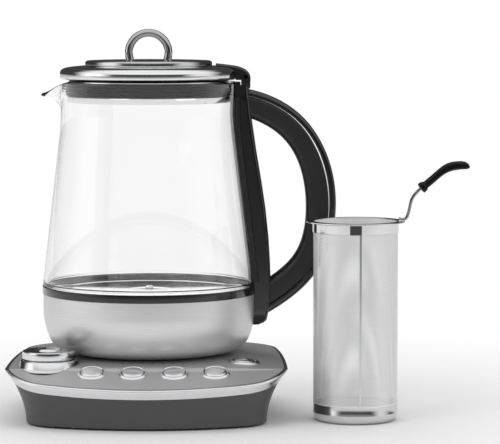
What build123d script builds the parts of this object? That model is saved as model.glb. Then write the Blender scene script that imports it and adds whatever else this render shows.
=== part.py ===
from build123d import *
import os
from math import cos, hypot, radians, sin, sqrt, tan

# Glass tea maker: kettle with hinged lid, oval power base with knob and buttons, loose tea strainer.
# Millimetres. The origin is on the kettle's axis at the level that the feet stand on.
# +X points to the kettle's handle, -Y to the user and +Z up.

os.makedirs("parts", exist_ok=True)

# ---------------------------------------------------------------- driving sizes
# Fits
running_gap = 0.3                # between pieces that move past each other
seat_gap = 0.05                  # between a piece and the hole or recess that holds it

# Power base: plan, measured where the wall reaches plan_height
plan_height = 40.0
plan_front = 118.0               # kettle axis to the front edge
plan_back = 92.0                 # kettle axis to the back edge
front_corner_x = 103.0
front_corner_y = 88.0
back_corner_x = 91.0
back_corner_y = 80.0
side_bow = 1.5
front_corner_radius = 45.0
back_corner_radius = 42.0
flare_length = 105.0             # the wall spreads by height squared over this length
foot_height = 1.6                # underside of the base above the table
base_wall = 2.6
deck_wall = 2.4

# Power base: deck
deck_height = 44.0               # level seat under the kettle
deck_flat_radius = 58.0
deck_fall = 4.0                  # degrees, outside the seat
slope_axis_y = 292.0             # the control slope is a cone about this far upright axis
slope_radius = 372.0             # distance of its back edge from that axis
slope_top = deck_height - 4.0
slope_angle = 18.0               # degrees
slope_hollow = 3.0               # radius at the foot of the step
plate_thickness = 0.8
rim_height = 5.6
rim_thickness = 3.2
rim_stand = 0.8                  # the rim stands proud of the wall
rim_groove = 0.3                 # open line between the rim and the top plate

# Knob
knob_x = -70.3
knob_y = -59.5
knob_radius = 19.1
dish_top = deck_height + 1.8
knob_bottom = dish_top + 0.4
knob_top = knob_bottom + 6.2
knob_well_radius = 9.1
knob_well_depth = 3.8
knob_button_stand = 2.2
knob_button_travel = 1.2
press_gap = 1.3                  # from a stem to its switch at rest, just over the travel
dish_radius = 21.7
dish_top_radius = 20.3
dish_lip = 0.7                   # bevels of the dish's edge
dish_skirt = 6.5
shaft_radius = 3.0
knob_edge = 0.9                  # chrome left outside the knob's inlay
knob_bevel = 0.35
inlay_thickness = 0.8
encoder_size = 13.0
encoder_body = 6.5
bush_wall = 2.0

# Buttons
button_count = 4
button_first_x = -38.2
button_pitch = 29.4
button_setback = 4.5             # from the slope's back edge
button_radius = 7.85
button_stand = 2.4
button_skirt = 3.6
button_travel = 1.2
bezel_radius = 10.4
bezel_height = 1.5
stem_radius = 2.0
stem_length = 9.4
button_flange = 0.9              # holds the cap behind its bezel
button_edge = 0.9
bezel_wall = 1.2
bezel_bevel = 0.7
side_button_x = 70.3
side_button_y = -48.0
side_bezel_radius = 11.6

# Indicator lights
light_count = 9
light_pitch = 7.33
light_middle_x = 4.8
light_setback = -14.0
light_radius = 0.75
light_length = 6.0

# Boards and switches
board_thickness = 1.6
board_width = 22.0
board_margin = 13.0              # past the first and last switch
side_board_size = 20.0
switch_size = 6.0
switch_height = 3.0
post_radius = 2.2

# Feet, screws, connector, cord gland
foot_radius = 9.0
foot_x = 58.0
foot_front_y = 79.0
foot_back_y = 51.0
foot_recess = 1.2
cover_thickness = 2.6
screw_radius = 1.5
screw_head_radius = 2.8
screw_head_height = 1.2
screw_sink = 0.2
screw_length = 11.0
boss_radius = 4.2
boss_front_x = 72.0
boss_front_y = 18.0
boss_back_x = 30.0
boss_back_y = 66.0
connector_radius = 15.5
connector_height = 11.0          # above the deck
connector_hub_radius = 21.8
connector_pin_radius = 2.2
connector_base = 10.0            # its flange lies this far under the deck
connector_flange = 3.0
connector_groove = 0.9           # half the width of the contact grooves
gland_radius = 5.5
gland_bore = 3.6
gland_height = 16.0
gland_collar = 1.6
gland_collar_length = 2.4

# Kettle body
bowl_foot_radius = 57.0
bowl_foot = deck_height + 1.0
bowl_radius = 78.4
bowl_belly_in = 7.9              # two points of the bowl's turn: in from its radius, up from its foot
bowl_belly_up = 5.2
bowl_side_in = 3.0
bowl_side_up = 14.5
bowl_top = bowl_foot + 43.0
bowl_sheet = 1.0
bowl_opening = 53.0
collar_radius = 79.0
collar_top = bowl_top + 6.0
collar_wall = 1.9
glass_foot_radius = 78.8
neck_radius = 64.8
neck_corner = collar_top + 119.0              # height where cone and neck would meet
neck_rounding = 150.0
glass_top = collar_top + 150.0
glass_wall = 2.5
plate_radius = 73.6
plate_level = bowl_top + 2.0
plate_sheet = 1.2
plate_step = 0.6                 # height of its pressed rings
plate_boss_radius = 18.0
plate_groove_inner = 58.0
plate_groove_outer = 71.0
sensor_radius = 3.0
element_radius = 46.0
element_wire = 3.3
seal_thickness = 1.4
spout_reach = 79.5               # kettle axis to the tip
spout_tip = glass_top - 10.5
spout_root = 56.0
spout_root_half = 23.0
spout_root_low = glass_top - 28.0
spout_middle = 68.0
spout_middle_half = 13.0
spout_middle_low = glass_top - 15.5
spout_tip_half = 6.5
spout_droop = 4.6                # how far the lip has dropped half way along
socket_radius = 20.6
socket_height = 15.5

# Lid
lid_radius = 65.4
lid_edge = glass_top + 1.6
lid_edge_height = 4.4
lid_seat_radius = 47.0
lid_seat = lid_edge + 10.4
lid_sheet = 1.2
lid_opening = 36.5
liner_radius = 60.5
liner_bottom = glass_top - 15.0
liner_flange = 4.4
liner_wall = 2.0
gasket_radius = 61.6
gasket_taper = 0.6
gasket_low = glass_top - 10.0
gasket_high = glass_top - 0.6
gasket_fins = 5
lid_edge_pull = 4.5              # how far the shoulder runs on upright from its edge
lid_seat_pull = 14.0             # how far it runs on level from the cap's seat
lid_seat_fall = 1.0              # over that run
liner_ease = 1.0                 # round the strainer's body
liner_rise = 3.6                 # the liner's wall ends this far above the lid's edge
ledge_level = lid_seat - 10.0              # the strainer's rim hangs here inside the lid
gasket_inner = 58.6
fin_depth = 1.4
fin_groove = 0.8
cap_radius = 46.7
cap_wall = 1.6
cap_edge = lid_seat + 3.0
cap_top = cap_edge + 1.2
cap_flat_radius = 20.0
cap_skirt_radius = 33.0
cap_skirt = 6.0
cap_bevel = 0.8
seal_rib = 0.9
loop_radius = 14.6
loop_wire = 5.8
loop_centre = cap_top + 5.2

# Hinge
hinge_x = 71.5
hinge_z = lid_edge + 2.4
pin_radius = 1.5
ear_radius = 3.4
ear_inner = 7.8
ear_outer = 11.6
hinge_cap_half = 14.0
hinge_cap_reach = 22.0           # from the hinge's axis in over the lid
hinge_cap_front = lid_seat + 1.4
hinge_cap_drop = 3.7
hinge_cap_gap = 0.15             # over the lid's shoulder
ear_side_gap = 0.1
pin_ease = 0.05                  # the lid's bore turns on the pin
pin_press = 0.02                 # the ears hold it
lid_swing = 80.0                 # degrees

# Handle
strap_half = 13.0
strap_edge = 2.0
strap_top = glass_top - 2.8
strap_depth = 8.4                # from glass to the strap's outer edge at the neck
strap_growth = 2.3               # more at the collar
strap_tail_in = 2.4              # the tail narrows again on the bowl
strap_tail_round = 3.8
backing = 3.9
backing_half = 15.0
backing_bottom = collar_top + 3.0
strap_tail = bowl_foot + 20.0
grip_half = 11.5
grip_round = 4.5
trim_depth = 5.4
trim_half = grip_half - 0.6
trim_bevel = 1.4
handle_reach = 137.8
grip_depth = 21.9                # at the reach, trim included
finger_reach = handle_reach - grip_depth
handle_reach_z = bowl_foot + 115.0
grip_root_top = glass_top - 6.0
grip_root_bottom = bowl_foot + 28.0
finger_top = glass_top - 27.3
finger_bottom = bowl_foot + 53.5
handle_shoulder = (handle_reach - 26.3, glass_top - 24.0)
handle_heel = (handle_reach - 16.9, bowl_foot + 55.5)
finger_shoulder = (finger_reach - 17.4, glass_top - 41.0)
finger_reach_z = bowl_foot + 108.0
finger_heel = (finger_reach - 9.3, bowl_foot + 70.0)
grip_root_bottom_x = 89.4
handle_screw_radius = 1.8
handle_screw_head = 3.2
backing_top = glass_top - 5.5
handle_screw_length = 18.0

# Strainer
strainer_x = 151.0
strainer_y = -46.0
strainer_radius = 30.6
strainer_height = 145.0
strainer_sheet = 0.6
strainer_band = 8.2
cup_height = 12.8
cup_round = 5.0
rim_flange = 35.6
wire_radius = 1.1
bracket_half = 2.6
bracket_round = 2.2
strainer_grip_half = 4.2
strainer_grip_edge = 1.6
# Side view of the strainer's bracket and grip, from its axis and its rim's top
bracket_root = (31.0, 1.1)
bracket_bend = (36.4, 1.3)
bracket_top = (41.8, 17.6)
bracket_slope = (47.0, 23.2)
bracket_end = (60.0, 33.5)
grip_nose_top = (44.1, 26.3)
grip_back_one = (54.5, 33.0)
grip_back_two = (66.0, 41.4)
grip_back_end = (77.0, 43.1)
grip_tip = (81.9, 40.8)
grip_belly_end = (80.4, 37.4)
grip_belly = (67.0, 35.1)
grip_nose_low = (49.3, 19.7)


# ---------------------------------------------------------------- helpers
def save(piece, name):
    """Label a finished piece and write it to its own file."""
    piece.label = name
    export_step(piece, f"parts/{name}.step")


def ring(outer, inner, low, high, mode=Mode.ADD):
    """Upright ring about the current origin; an inner radius of 0 makes a disc."""
    with BuildSketch(Plane.XY.offset(low)) as section:
        Circle(outer)
        if inner > 0:
            Circle(inner, mode=Mode.SUBTRACT)
    extrude(section.sketch, amount=high - low, mode=mode)


def turn(*corners, mode=Mode.ADD):
    """Turn a straight-sided section of (radius, height) corners about the Z axis."""
    with BuildSketch(Plane.XZ) as section:
        with BuildLine():
            Polyline(*corners, close=True)
        make_face()
    revolve(section.sketch, axis=Axis.Z, mode=mode)


# ---------------------------------------------------------------- base form
def wall_inset(height):
    """How far the base's wall lies inside its plan at a height."""
    return (plan_height**2 - height**2) / flare_length


def base_plan(inset):
    """Plan of the base: a broad trapezoid with bowed sides and round corners, moved in by inset."""
    front = [(-front_corner_x, -front_corner_y), (front_corner_x, -front_corner_y)]
    back = [(back_corner_x, back_corner_y), (-back_corner_x, back_corner_y)]
    side_x = (front_corner_x + back_corner_x) / 2 + side_bow
    side_y = (back_corner_y - front_corner_y) / 2
    with BuildLine() as edge:
        ThreePointArc(front[0], (0, -plan_front), front[1])
        ThreePointArc(front[1], (side_x, side_y), back[0])
        ThreePointArc(back[0], (0, plan_back), back[1])
        ThreePointArc(back[1], (-side_x, side_y), front[0])
    make_face(edge.line)
    fillet(vertices().group_by(Axis.Y)[0], radius=front_corner_radius)
    fillet(vertices().group_by(Axis.Y)[-1], radius=back_corner_radius)
    offset(amount=-inset, kind=Kind.TANGENT)


def flared_block(gap, low=0.0, high=deck_height + 6.0, levels=5):
    """Solid base form between two heights, with its wall moved in by gap."""
    with BuildPart() as block:
        for level in range(levels):
            height = low + (high - low) * level / (levels - 1)
            with BuildSketch(Plane.XY.offset(height)):
                base_plan(wall_inset(height) + gap)
        loft()
    return block.part


deck_reach = plan_front + 2 * front_corner_radius


def deck_z(x, y):
    """Height of the deck's plateau at a point."""
    return deck_height - max(hypot(x, y) - deck_flat_radius, 0) * tan(radians(deck_fall))


def below_deck(drop):
    """Everything under the deck lowered by drop: a shallow cone, with the control slope cut in front."""
    level = deck_height - drop
    fall = (deck_reach - deck_flat_radius) * tan(radians(deck_fall))
    edge = slope_radius - drop
    foot = slope_top - drop
    run = deck_reach
    with BuildPart() as block:
        turn((0, -20), (0, level), (deck_flat_radius, level), (deck_reach, level - fall), (deck_reach, -20))
        slope_plane = Plane(origin=(0, slope_axis_y, 0), x_dir=(0, -1, 0), z_dir=(-1, 0, 0))
        with BuildSketch(slope_plane):
            with BuildLine():
                slope_end = (edge + run, foot - run * tan(radians(slope_angle)))
                over = deck_height + 10
                Polyline((edge - 1.0, over), (edge, foot), slope_end, (edge + run, over), close=True)
            make_face()
            fillet(vertices().sort_by_distance((edge, foot))[0], radius=slope_hollow)
        revolve(axis=Axis((0, slope_axis_y, 0), (0, 0, 1)), mode=Mode.SUBTRACT)
    return block.part


deck_top = below_deck(0)
deck_under_plate = below_deck(plate_thickness)
rim_bottom = below_deck(rim_height)
plate_inset = rim_thickness - rim_stand + rim_groove


# ---------------------------------------------------------------- control frames
def slope_frame(x, setback):
    """Plane on the control slope at x, in front of its back edge, square to the slope's middle line."""
    y = slope_axis_y - sqrt((slope_radius + setback) ** 2 - x**2)
    height = slope_top - setback * tan(radians(slope_angle))
    tilt = radians(slope_angle)
    return Plane(origin=(x, y, height), x_dir=(1, 0, 0), z_dir=(0, -sin(tilt), cos(tilt)))


def plateau_frame(x, y):
    """Plane on the plateau at a point, with Z off the surface."""
    tilt = radians(deck_fall)
    away = hypot(x, y)
    normal = (x / away * sin(tilt), y / away * sin(tilt), cos(tilt))
    return Plane(origin=(x, y, deck_z(x, y)), x_dir=(1, 0, 0), z_dir=normal)


button_row = [button_first_x + i * button_pitch for i in range(button_count)]
slope_buttons = [slope_frame(x, button_setback) for x in button_row]
side_button = plateau_frame(side_button_x, side_button_y)
knob_place = Plane(origin=(knob_x, knob_y, 0))
shank_radius = button_radius + running_gap + bezel_wall
lights = []
for i in range(light_count):
    light_x = light_middle_x + (i - (light_count - 1) / 2) * light_pitch
    light_y = slope_axis_y - sqrt((slope_radius + light_setback) ** 2 - light_x**2)
    lights.append((light_x, light_y))

board_depth = stem_length + press_gap + switch_height
board_middle = slope_frame(button_first_x + button_pitch * (button_count - 1) / 2, button_setback)
board_length = button_pitch * (button_count - 1) + 2 * board_margin

knob_board = Plane(origin=(knob_x, knob_y, deck_z(knob_x, knob_y)))
boards = [
    (board_middle, board_length, board_width),
    (side_button, side_board_size, side_board_size),
    (knob_board, side_board_size, side_board_size),
]


def board_posts(frame, length, width):
    """Corner posts from a board's top up into the deck."""
    with BuildPart() as posts:
        with BuildSketch(Plane.XY.offset(-board_depth)):
            with GridLocations(length - 2 * post_radius, width - 2 * post_radius, 2, 2):
                Circle(post_radius)
        extrude(amount=board_depth)
    return frame.location * posts.part


# ---------------------------------------------------------------- power base
cover_top = foot_height + cover_thickness
under_deck = below_deck(plate_thickness + deck_wall)
wall_block = flared_block(0, low=foot_height)
shoulder = flared_block(plate_inset, low=foot_height) & deck_under_plate
cavity_low = flared_block(base_wall) & below_deck(rim_height + deck_wall)
cavity_high = flared_block(plate_inset + base_wall) & under_deck
boss_spots = [(side * boss_front_x, -boss_front_y) for side in (-1, 1)]
boss_spots += [(side * boss_back_x, boss_back_y) for side in (-1, 1)]

with BuildPart() as fixings:
    with BuildSketch(Plane.XY.offset(cover_top)):
        with Locations(*boss_spots):
            Circle(boss_radius)
            Circle(screw_radius, mode=Mode.SUBTRACT)
    extrude(amount=deck_height)
    for frame, length, width in boards:
        add(board_posts(frame, length, width))
    add(below_deck(plate_thickness + deck_wall / 2), mode=Mode.INTERSECT)

with BuildPart() as base_housing:
    add(wall_block & rim_bottom)
    add(shoulder)
    add(cavity_low, mode=Mode.SUBTRACT)
    add(cavity_high, mode=Mode.SUBTRACT)
    add(fixings.part)
    ring(connector_hub_radius + seat_gap, 0, cover_top, deck_height + 2, mode=Mode.SUBTRACT)
    with Locations(knob_place):
        Cylinder(shaft_radius + running_gap, 3 * deck_height, mode=Mode.SUBTRACT)
    for frame in slope_buttons + [side_button]:
        with Locations(frame):
            Cylinder(shank_radius + seat_gap, 6 * deck_wall, mode=Mode.SUBTRACT)
    with Locations(*[(x, y, deck_height) for x, y in lights]):
        Cylinder(light_radius + seat_gap, deck_height, mode=Mode.SUBTRACT)
    gland_y = plan_back - wall_inset(gland_height)
    with Locations(Plane(origin=(0, gland_y, gland_height), z_dir=(0, 1, 0))):
        Cylinder(gland_radius + seat_gap, 6 * base_wall, mode=Mode.SUBTRACT)
save(base_housing.part, "base_housing")

with BuildPart() as base_bottom_cover:
    add(flared_block(base_wall + running_gap, low=foot_height, high=cover_top, levels=3))
    feet_spots = [(side * foot_x, y) for side in (-1, 1) for y in (-foot_front_y, foot_back_y)]
    with BuildSketch(Plane.XY.offset(foot_height)):
        with Locations(*feet_spots):
            Circle(foot_radius + seat_gap)
    extrude(amount=foot_recess, mode=Mode.SUBTRACT)
    with BuildSketch(Plane.XY.offset(foot_height)):
        with Locations(*boss_spots):
            Circle(screw_head_radius + seat_gap)
    extrude(amount=screw_head_height + screw_sink, mode=Mode.SUBTRACT)
    with BuildSketch(Plane.XY.offset(foot_height)):
        with Locations(*boss_spots):
            Circle(screw_radius + seat_gap)
    extrude(amount=cover_thickness, mode=Mode.SUBTRACT)
save(base_bottom_cover.part, "base_bottom_cover")

with BuildPart() as base_feet:
    with BuildSketch(Plane.XY):
        with Locations(*feet_spots):
            Circle(foot_radius)
    extrude(amount=foot_height + foot_recess)
    chamfer(base_feet.edges().group_by(Axis.Z)[0], length=0.5)
save(base_feet.part, "base_feet")

with BuildPart() as base_screws:
    with BuildSketch(Plane.XY.offset(foot_height + screw_sink)):
        with Locations(*boss_spots):
            Circle(screw_head_radius)
    extrude(amount=screw_head_height)
    with BuildSketch(Plane.XY.offset(foot_height + screw_sink + screw_head_height)):
        with Locations(*boss_spots):
            Circle(screw_radius - seat_gap)
    extrude(amount=screw_length)
save(base_screws.part, "base_screws")

with BuildPart() as base_rim:
    add(flared_block(-rim_stand, low=foot_height) & below_deck(0.0))
    add(below_deck(rim_height), mode=Mode.SUBTRACT)
    add(flared_block(rim_thickness - rim_stand), mode=Mode.SUBTRACT)
save(base_rim.part, "base_rim")

with BuildPart() as base_top_plate:
    add(flared_block(plate_inset, low=foot_height) & deck_top)
    add(deck_under_plate, mode=Mode.SUBTRACT)
    ring(connector_hub_radius + seat_gap, 0, cover_top, deck_height + 2, mode=Mode.SUBTRACT)
    with Locations(knob_place):
        Cylinder(dish_radius + seat_gap, 3 * deck_height, mode=Mode.SUBTRACT)
    for frame in slope_buttons + [side_button]:
        with Locations(frame):
            Cylinder(shank_radius + seat_gap, 8 * plate_thickness, mode=Mode.SUBTRACT)
    with Locations(*[(x, y, deck_height) for x, y in lights]):
        Cylinder(light_radius + seat_gap, deck_height, mode=Mode.SUBTRACT)
save(base_top_plate.part, "base_top_plate")

with BuildPart() as base_connector:
    turn(
        (connector_pin_radius, deck_height - connector_base),
        (connector_hub_radius + connector_flange, deck_height - connector_base),
        (connector_hub_radius + connector_flange, deck_height - plate_thickness - deck_wall),
        (connector_hub_radius, deck_height - plate_thickness - deck_wall),
        (connector_hub_radius, deck_height - 0.1),
        (connector_radius, deck_height - 0.1),
        (connector_radius, deck_height + connector_height - 1.0),
        (connector_radius - 1.0, deck_height + connector_height),
        (connector_pin_radius, deck_height + connector_height),
    )
    for groove_radius in (connector_radius * 0.4, connector_radius * 0.7):
        ring(groove_radius + connector_groove, groove_radius - connector_groove,
             deck_height + 2, deck_height + connector_height + 1, mode=Mode.SUBTRACT)
save(base_connector.part, "base_connector")

gland_place = Plane(origin=(0, gland_y, gland_height), z_dir=(0, 1, 0))
with BuildPart() as cord_gland:
    gland_shoulder = -base_wall - 2.0
    gland_inside = gland_shoulder - gland_collar_length
    turn(
        (gland_bore, gland_inside),
        (gland_radius + gland_collar, gland_inside),
        (gland_radius + gland_collar, gland_shoulder),
        (gland_radius, gland_shoulder),
        (gland_radius, 1.2),
        (gland_radius - 1.0, 2.2),
        (gland_bore, 2.2),
    )
save(gland_place.location * cord_gland.part, "cord_gland")

# ---------------------------------------------------------------- knob, dish and encoder
with BuildPart() as dish_form:
    turn(
        (shaft_radius + running_gap, cover_top),
        (dish_radius, cover_top),
        (dish_radius, dish_top - dish_skirt),
        (dish_top_radius + 0.3, dish_top - dish_lip),
        (dish_top_radius - 0.5, dish_top),
        (knob_radius - 1.8, dish_top),
        (knob_radius - 2.6, dish_top - 1.2),
        (shaft_radius + running_gap, dish_top - 1.2),
    )
save(knob_place.location * dish_form.part - deck_under_plate, "knob_dish")

well_floor = knob_top - knob_well_depth
inlay_radius = knob_radius - knob_edge
with BuildPart() as knob_form:
    ring(knob_radius, shaft_radius + seat_gap, knob_bottom, knob_top)
    ring(knob_well_radius, 0, well_floor, knob_top + 1, mode=Mode.SUBTRACT)
    ring(inlay_radius, knob_well_radius, knob_top - inlay_thickness, knob_top + 1, mode=Mode.SUBTRACT)
    ring(knob_radius - 2.4, shaft_radius + 2.5, knob_bottom - 1, knob_bottom + 1.0, mode=Mode.SUBTRACT)
    chamfer(knob_form.edges().filter_by(GeomType.CIRCLE).sort_by(SortBy.RADIUS)[-2:], length=knob_bevel)
save(knob_place.location * knob_form.part, "knob")

with BuildPart() as inlay_form:
    ring(inlay_radius - seat_gap, knob_well_radius + seat_gap, knob_top - inlay_thickness, knob_top + 0.1)
save(knob_place.location * inlay_form.part, "knob_inlay")

with BuildPart() as knob_button_form:
    button_bottom = well_floor + knob_button_travel + 0.1
    ring(knob_well_radius - running_gap, 0, button_bottom, knob_top + knob_button_stand)
    fillet(knob_button_form.edges().group_by(Axis.Z)[-1], radius=1.3)
save(knob_place.location * knob_button_form.part, "knob_button")

encoder_bottom = deck_z(knob_x, knob_y) - board_depth
bush_top = deck_z(knob_x, knob_y) - plate_thickness - deck_wall - 0.8
with BuildPart() as encoder_form:
    with BuildSketch(Plane.XY.offset(encoder_bottom)):
        RectangleRounded(encoder_size, encoder_size, 1.0)
    extrude(amount=encoder_body)
    ring(shaft_radius + bush_wall, 0, encoder_bottom + encoder_body, bush_top)
    ring(shaft_radius + seat_gap, 0, encoder_bottom + 2.0, bush_top + 1, mode=Mode.SUBTRACT)
save(knob_place.location * encoder_form.part, "encoder")

with BuildPart() as shaft_form:
    ring(shaft_radius, 0, encoder_bottom + 2.1, well_floor - 0.1)
    chamfer(shaft_form.edges().group_by(Axis.Z)[-1], length=0.4)
save(knob_place.location * shaft_form.part, "encoder_shaft")

# ---------------------------------------------------------------- buttons, bezels, switches, boards
def button_part(depth):
    """Domed cap with a retaining flange and a stem that ends just above its switch on a board at depth."""
    with BuildPart() as form:
        ring(button_radius, 0, -button_skirt, button_stand)
        fillet(form.edges().group_by(Axis.Z)[-1], radius=button_edge)
        ring(button_radius + button_flange, 0, -button_skirt - 1.2, -button_skirt)
        ring(stem_radius, 0, -depth + switch_height + press_gap, -button_skirt)
    return form.part


def switch_part(depth):
    """Push switch on a board at depth."""
    with BuildPart() as form:
        with BuildSketch(Plane.XY.offset(-depth)) as body:
            RectangleRounded(switch_size, switch_size, 0.6)
        extrude(body.sketch, amount=switch_height - 0.9)
        ring(stem_radius - 0.3, 0, -depth, -depth + switch_height)
    return form.part


def bezel_form(flange):
    """Bezel with a round lip on the plate and a shank through plate and deck."""
    bore = button_radius + running_gap
    with BuildPart() as form:
        turn(
            (bore, -button_skirt + running_gap),
            (shank_radius, -button_skirt + running_gap),
            (shank_radius, -1.0),
            (flange, -1.0),
            (flange, 0.3),
            (flange - bezel_bevel, bezel_height),
            (bore + bezel_bevel, bezel_height),
            (bore, bezel_height - bezel_bevel),
        )
    return form.part


above_deck = Box(4 * plan_front, 4 * plan_front, 4 * plan_front) - deck_top
for number, frame in enumerate(slope_buttons + [side_button], 1):
    on_slope = number <= button_count
    flange = bezel_radius if on_slope else side_bezel_radius
    board = board_middle if on_slope else side_button
    depth = board_depth + board.to_local_coords(frame.origin).Z
    shank = Cylinder(shank_radius, 6 * deck_wall)
    form = bezel_form(flange)
    bezel = frame.location * (form & shank) + (frame.location * form & above_deck)
    save(bezel, f"bezel_{number}")
    save(frame.location * button_part(depth), f"button_{number}")
    save(frame.location * switch_part(depth), f"switch_{number}")


def board_plate(length, width):
    """Board under the deck, its top at the board depth."""
    with BuildPart() as plate:
        with BuildSketch(Plane.XY.offset(-board_depth - board_thickness)):
            RectangleRounded(length, width, 1.5)
        extrude(amount=board_thickness)
    return plate.part


save(board_middle.location * board_plate(board_length, board_width), "control_board")
small_board = board_plate(side_board_size, side_board_size)
small_boards = [frame.location * small_board for frame in (knob_board, side_button)]
save(Compound(children=small_boards), "side_boards")

with BuildPart() as indicator_lights:
    for x, y in lights:
        with BuildSketch(Plane.XY.offset(deck_z(x, y) - light_length)):
            with Locations((x, y)):
                Circle(light_radius)
        extrude(amount=light_length + 0.15)
save(indicator_lights.part, "indicator_lights")

# ---------------------------------------------------------------- kettle: bowl, collar, heating plate
flange_top = bowl_top + 1.0
glass_foot = flange_top + seal_thickness
collar_bore = collar_radius - collar_wall


def bowl_form(inset):
    """Solid bowl form, its wall and floor moved in by inset."""
    with BuildPart() as form:
        with BuildSketch(Plane.XZ) as section:
            with BuildLine():
                low = bowl_foot + inset
                foot = (bowl_foot_radius, low)
                brim = (bowl_radius - inset, bowl_top - 12.0)
                belly = bowl_radius - bowl_belly_in
                Spline(foot, (belly - 0.6 * inset, bowl_foot + bowl_belly_up + 0.8 * inset),
                       (bowl_radius - bowl_side_in - inset, bowl_foot + bowl_side_up), brim,
                       tangents=[(1, 0.12), (0, 1)])
                Polyline(brim, (brim[0], bowl_top - inset), (0, bowl_top - inset), (0, low), foot)
            make_face()
        revolve(section.sketch, axis=Axis.Z)
    return form.part


with BuildPart() as steel_bowl:
    add(bowl_form(0))
    add(bowl_form(bowl_sheet), mode=Mode.SUBTRACT)
    ring(bowl_opening, 0, bowl_foot - 1, bowl_foot + 2, mode=Mode.SUBTRACT)
    ring(collar_bore - 3.0, 0, bowl_top - 2, bowl_top + 1, mode=Mode.SUBTRACT)
save(steel_bowl.part, "steel_bowl")

with BuildPart() as collar_ring:
    ring(collar_radius, collar_bore, bowl_top, collar_top)
    fillet(collar_ring.edges().group_by(Axis.Z)[-1].sort_by(SortBy.RADIUS)[-1], radius=0.5)
save(collar_ring.part, "collar_ring")

with BuildPart() as heating_plate:
    turn(
        (0, plate_level + plate_step),
        (plate_boss_radius - 2.0, plate_level + plate_step),
        (plate_boss_radius, plate_level),
        (plate_groove_inner, plate_level),
        (plate_groove_inner + 2.0, plate_level - plate_step),
        (plate_groove_outer - 1.0, plate_level - plate_step),
        (plate_groove_outer, plate_level),
        (plate_radius, plate_level),
        (plate_radius, flange_top),
        (collar_bore - seat_gap, flange_top),
        (collar_bore - seat_gap, bowl_top),
        (plate_groove_inner + 3.5, bowl_top),
        (plate_groove_inner + 1.5, plate_level - plate_sheet),
        (0, plate_level - plate_sheet),
    )
    ring(sensor_radius, 0, plate_level - 3, plate_level + 2, mode=Mode.SUBTRACT)
save(heating_plate.part, "heating_plate")

with BuildPart() as temperature_sensor:
    ring(sensor_radius - seat_gap, 0, plate_level - 6.0, plate_level + 3.0)
    fillet(temperature_sensor.edges().group_by(Axis.Z)[-1], radius=1.2)
save(temperature_sensor.part, "temperature_sensor")

with BuildPart() as heating_element:
    element_top = plate_level - plate_sheet
    ring(plate_groove_inner - 1.0, 2 * sensor_radius, element_top - 2.0, element_top)
    with Locations((0, 0, element_top - 4.0)):
        Torus(element_radius, element_wire)
save(heating_element.part, "heating_element")

with BuildPart() as glass_seal:
    ring(collar_bore - seat_gap, plate_radius + seat_gap, flange_top, glass_foot)
save(glass_seal.part, "glass_seal")


# ---------------------------------------------------------------- kettle: glass body with pulled spout
def glass_form(inset):
    """Solid glass form, straight cone running into an upright neck, its wall moved in by inset."""
    foot_radius_here = collar_bore - seat_gap - inset
    with BuildPart() as form:
        with BuildSketch(Plane.XZ) as section:
            with BuildLine() as edge:
                Polyline(
                    (0, glass_foot - inset),
                    (foot_radius_here, glass_foot - inset),
                    (foot_radius_here, collar_top + 0.1 + inset),
                    (glass_foot_radius - inset, collar_top + 0.3 + 1.6 * inset),
                    (neck_radius - inset, neck_corner),
                    (neck_radius - inset, glass_top + inset),
                    (0, glass_top + inset),
                    close=True,
                )
            make_face()
            fillet(vertices().sort_by_distance((neck_radius - inset, neck_corner))[0], radius=neck_rounding)
        revolve(section.sketch, axis=Axis.Z)
    return form.part


def spout_form(inset, reach):
    """Horn through three upright U sections, narrowing and rising to the tip."""
    rise = (spout_tip - spout_middle_low) / (spout_reach - spout_middle)
    sections = [
        (spout_root, spout_root_half, spout_root_low),
        (spout_middle, spout_middle_half, spout_middle_low),
        (spout_reach, spout_tip_half, spout_tip - 0.6),
    ]
    if reach > spout_reach:
        sections.append((reach, spout_tip_half - 0.5, spout_tip - 0.6 + 0.3 * rise * (reach - spout_reach)))
    with BuildPart() as horn:
        for away, half, low in sections:
            with BuildSketch(Plane(origin=(-away, 0, 0), x_dir=(0, 1, 0), z_dir=(1, 0, 0))):
                width = half - inset
                with BuildLine():
                    bottom = low + inset
                    ThreePointArc((-width, bottom + width), (0, bottom), (width, bottom + width))
                    Polyline((width, bottom + width), (width, glass_top + 12), (-width, glass_top + 12),
                             (-width, bottom + width))
                make_face()
        loft()
    return horn.part


with BuildPart() as glass_body:
    add(glass_form(0))
    add(spout_form(0, spout_reach))
    add(glass_form(glass_wall), mode=Mode.SUBTRACT)
    add(spout_form(glass_wall, spout_reach + 4), mode=Mode.SUBTRACT)
    with BuildSketch(Plane.XZ):
        middle = (spout_root + spout_reach) / 2
        with BuildLine():
            lip_start = (-spout_root, glass_top)
            lip_end = (-spout_reach, spout_tip)
            beyond = spout_reach + 20
            ThreePointArc(lip_start, (-middle - 1.0, glass_top - spout_droop + 0.2), lip_end)
            Polyline(lip_end, (-beyond, spout_tip), (-beyond, glass_top + 20))
            Polyline((-beyond, glass_top + 20), (beyond, glass_top + 20), (beyond, glass_top), lip_start)
        make_face()
    extrude(amount=collar_radius, both=True, mode=Mode.SUBTRACT)
save(glass_body.part, "glass_body")

# ---------------------------------------------------------------- kettle: underside
with BuildPart() as kettle_bottom_cover:
    turn(
        (socket_radius + seat_gap, bowl_foot - 0.7),
        (bowl_foot_radius - 0.8, bowl_foot - 0.7),
        (bowl_foot_radius - 0.8, bowl_foot),
        (bowl_opening - seat_gap, bowl_foot),
        (bowl_opening - seat_gap, bowl_foot + 2.0),
        (socket_radius + seat_gap, bowl_foot + 2.0),
    )
    ring(bowl_opening - 1.0, bowl_opening - 5.0, deck_height, bowl_foot - 0.7)
save(kettle_bottom_cover.part, "kettle_bottom_cover")

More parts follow.
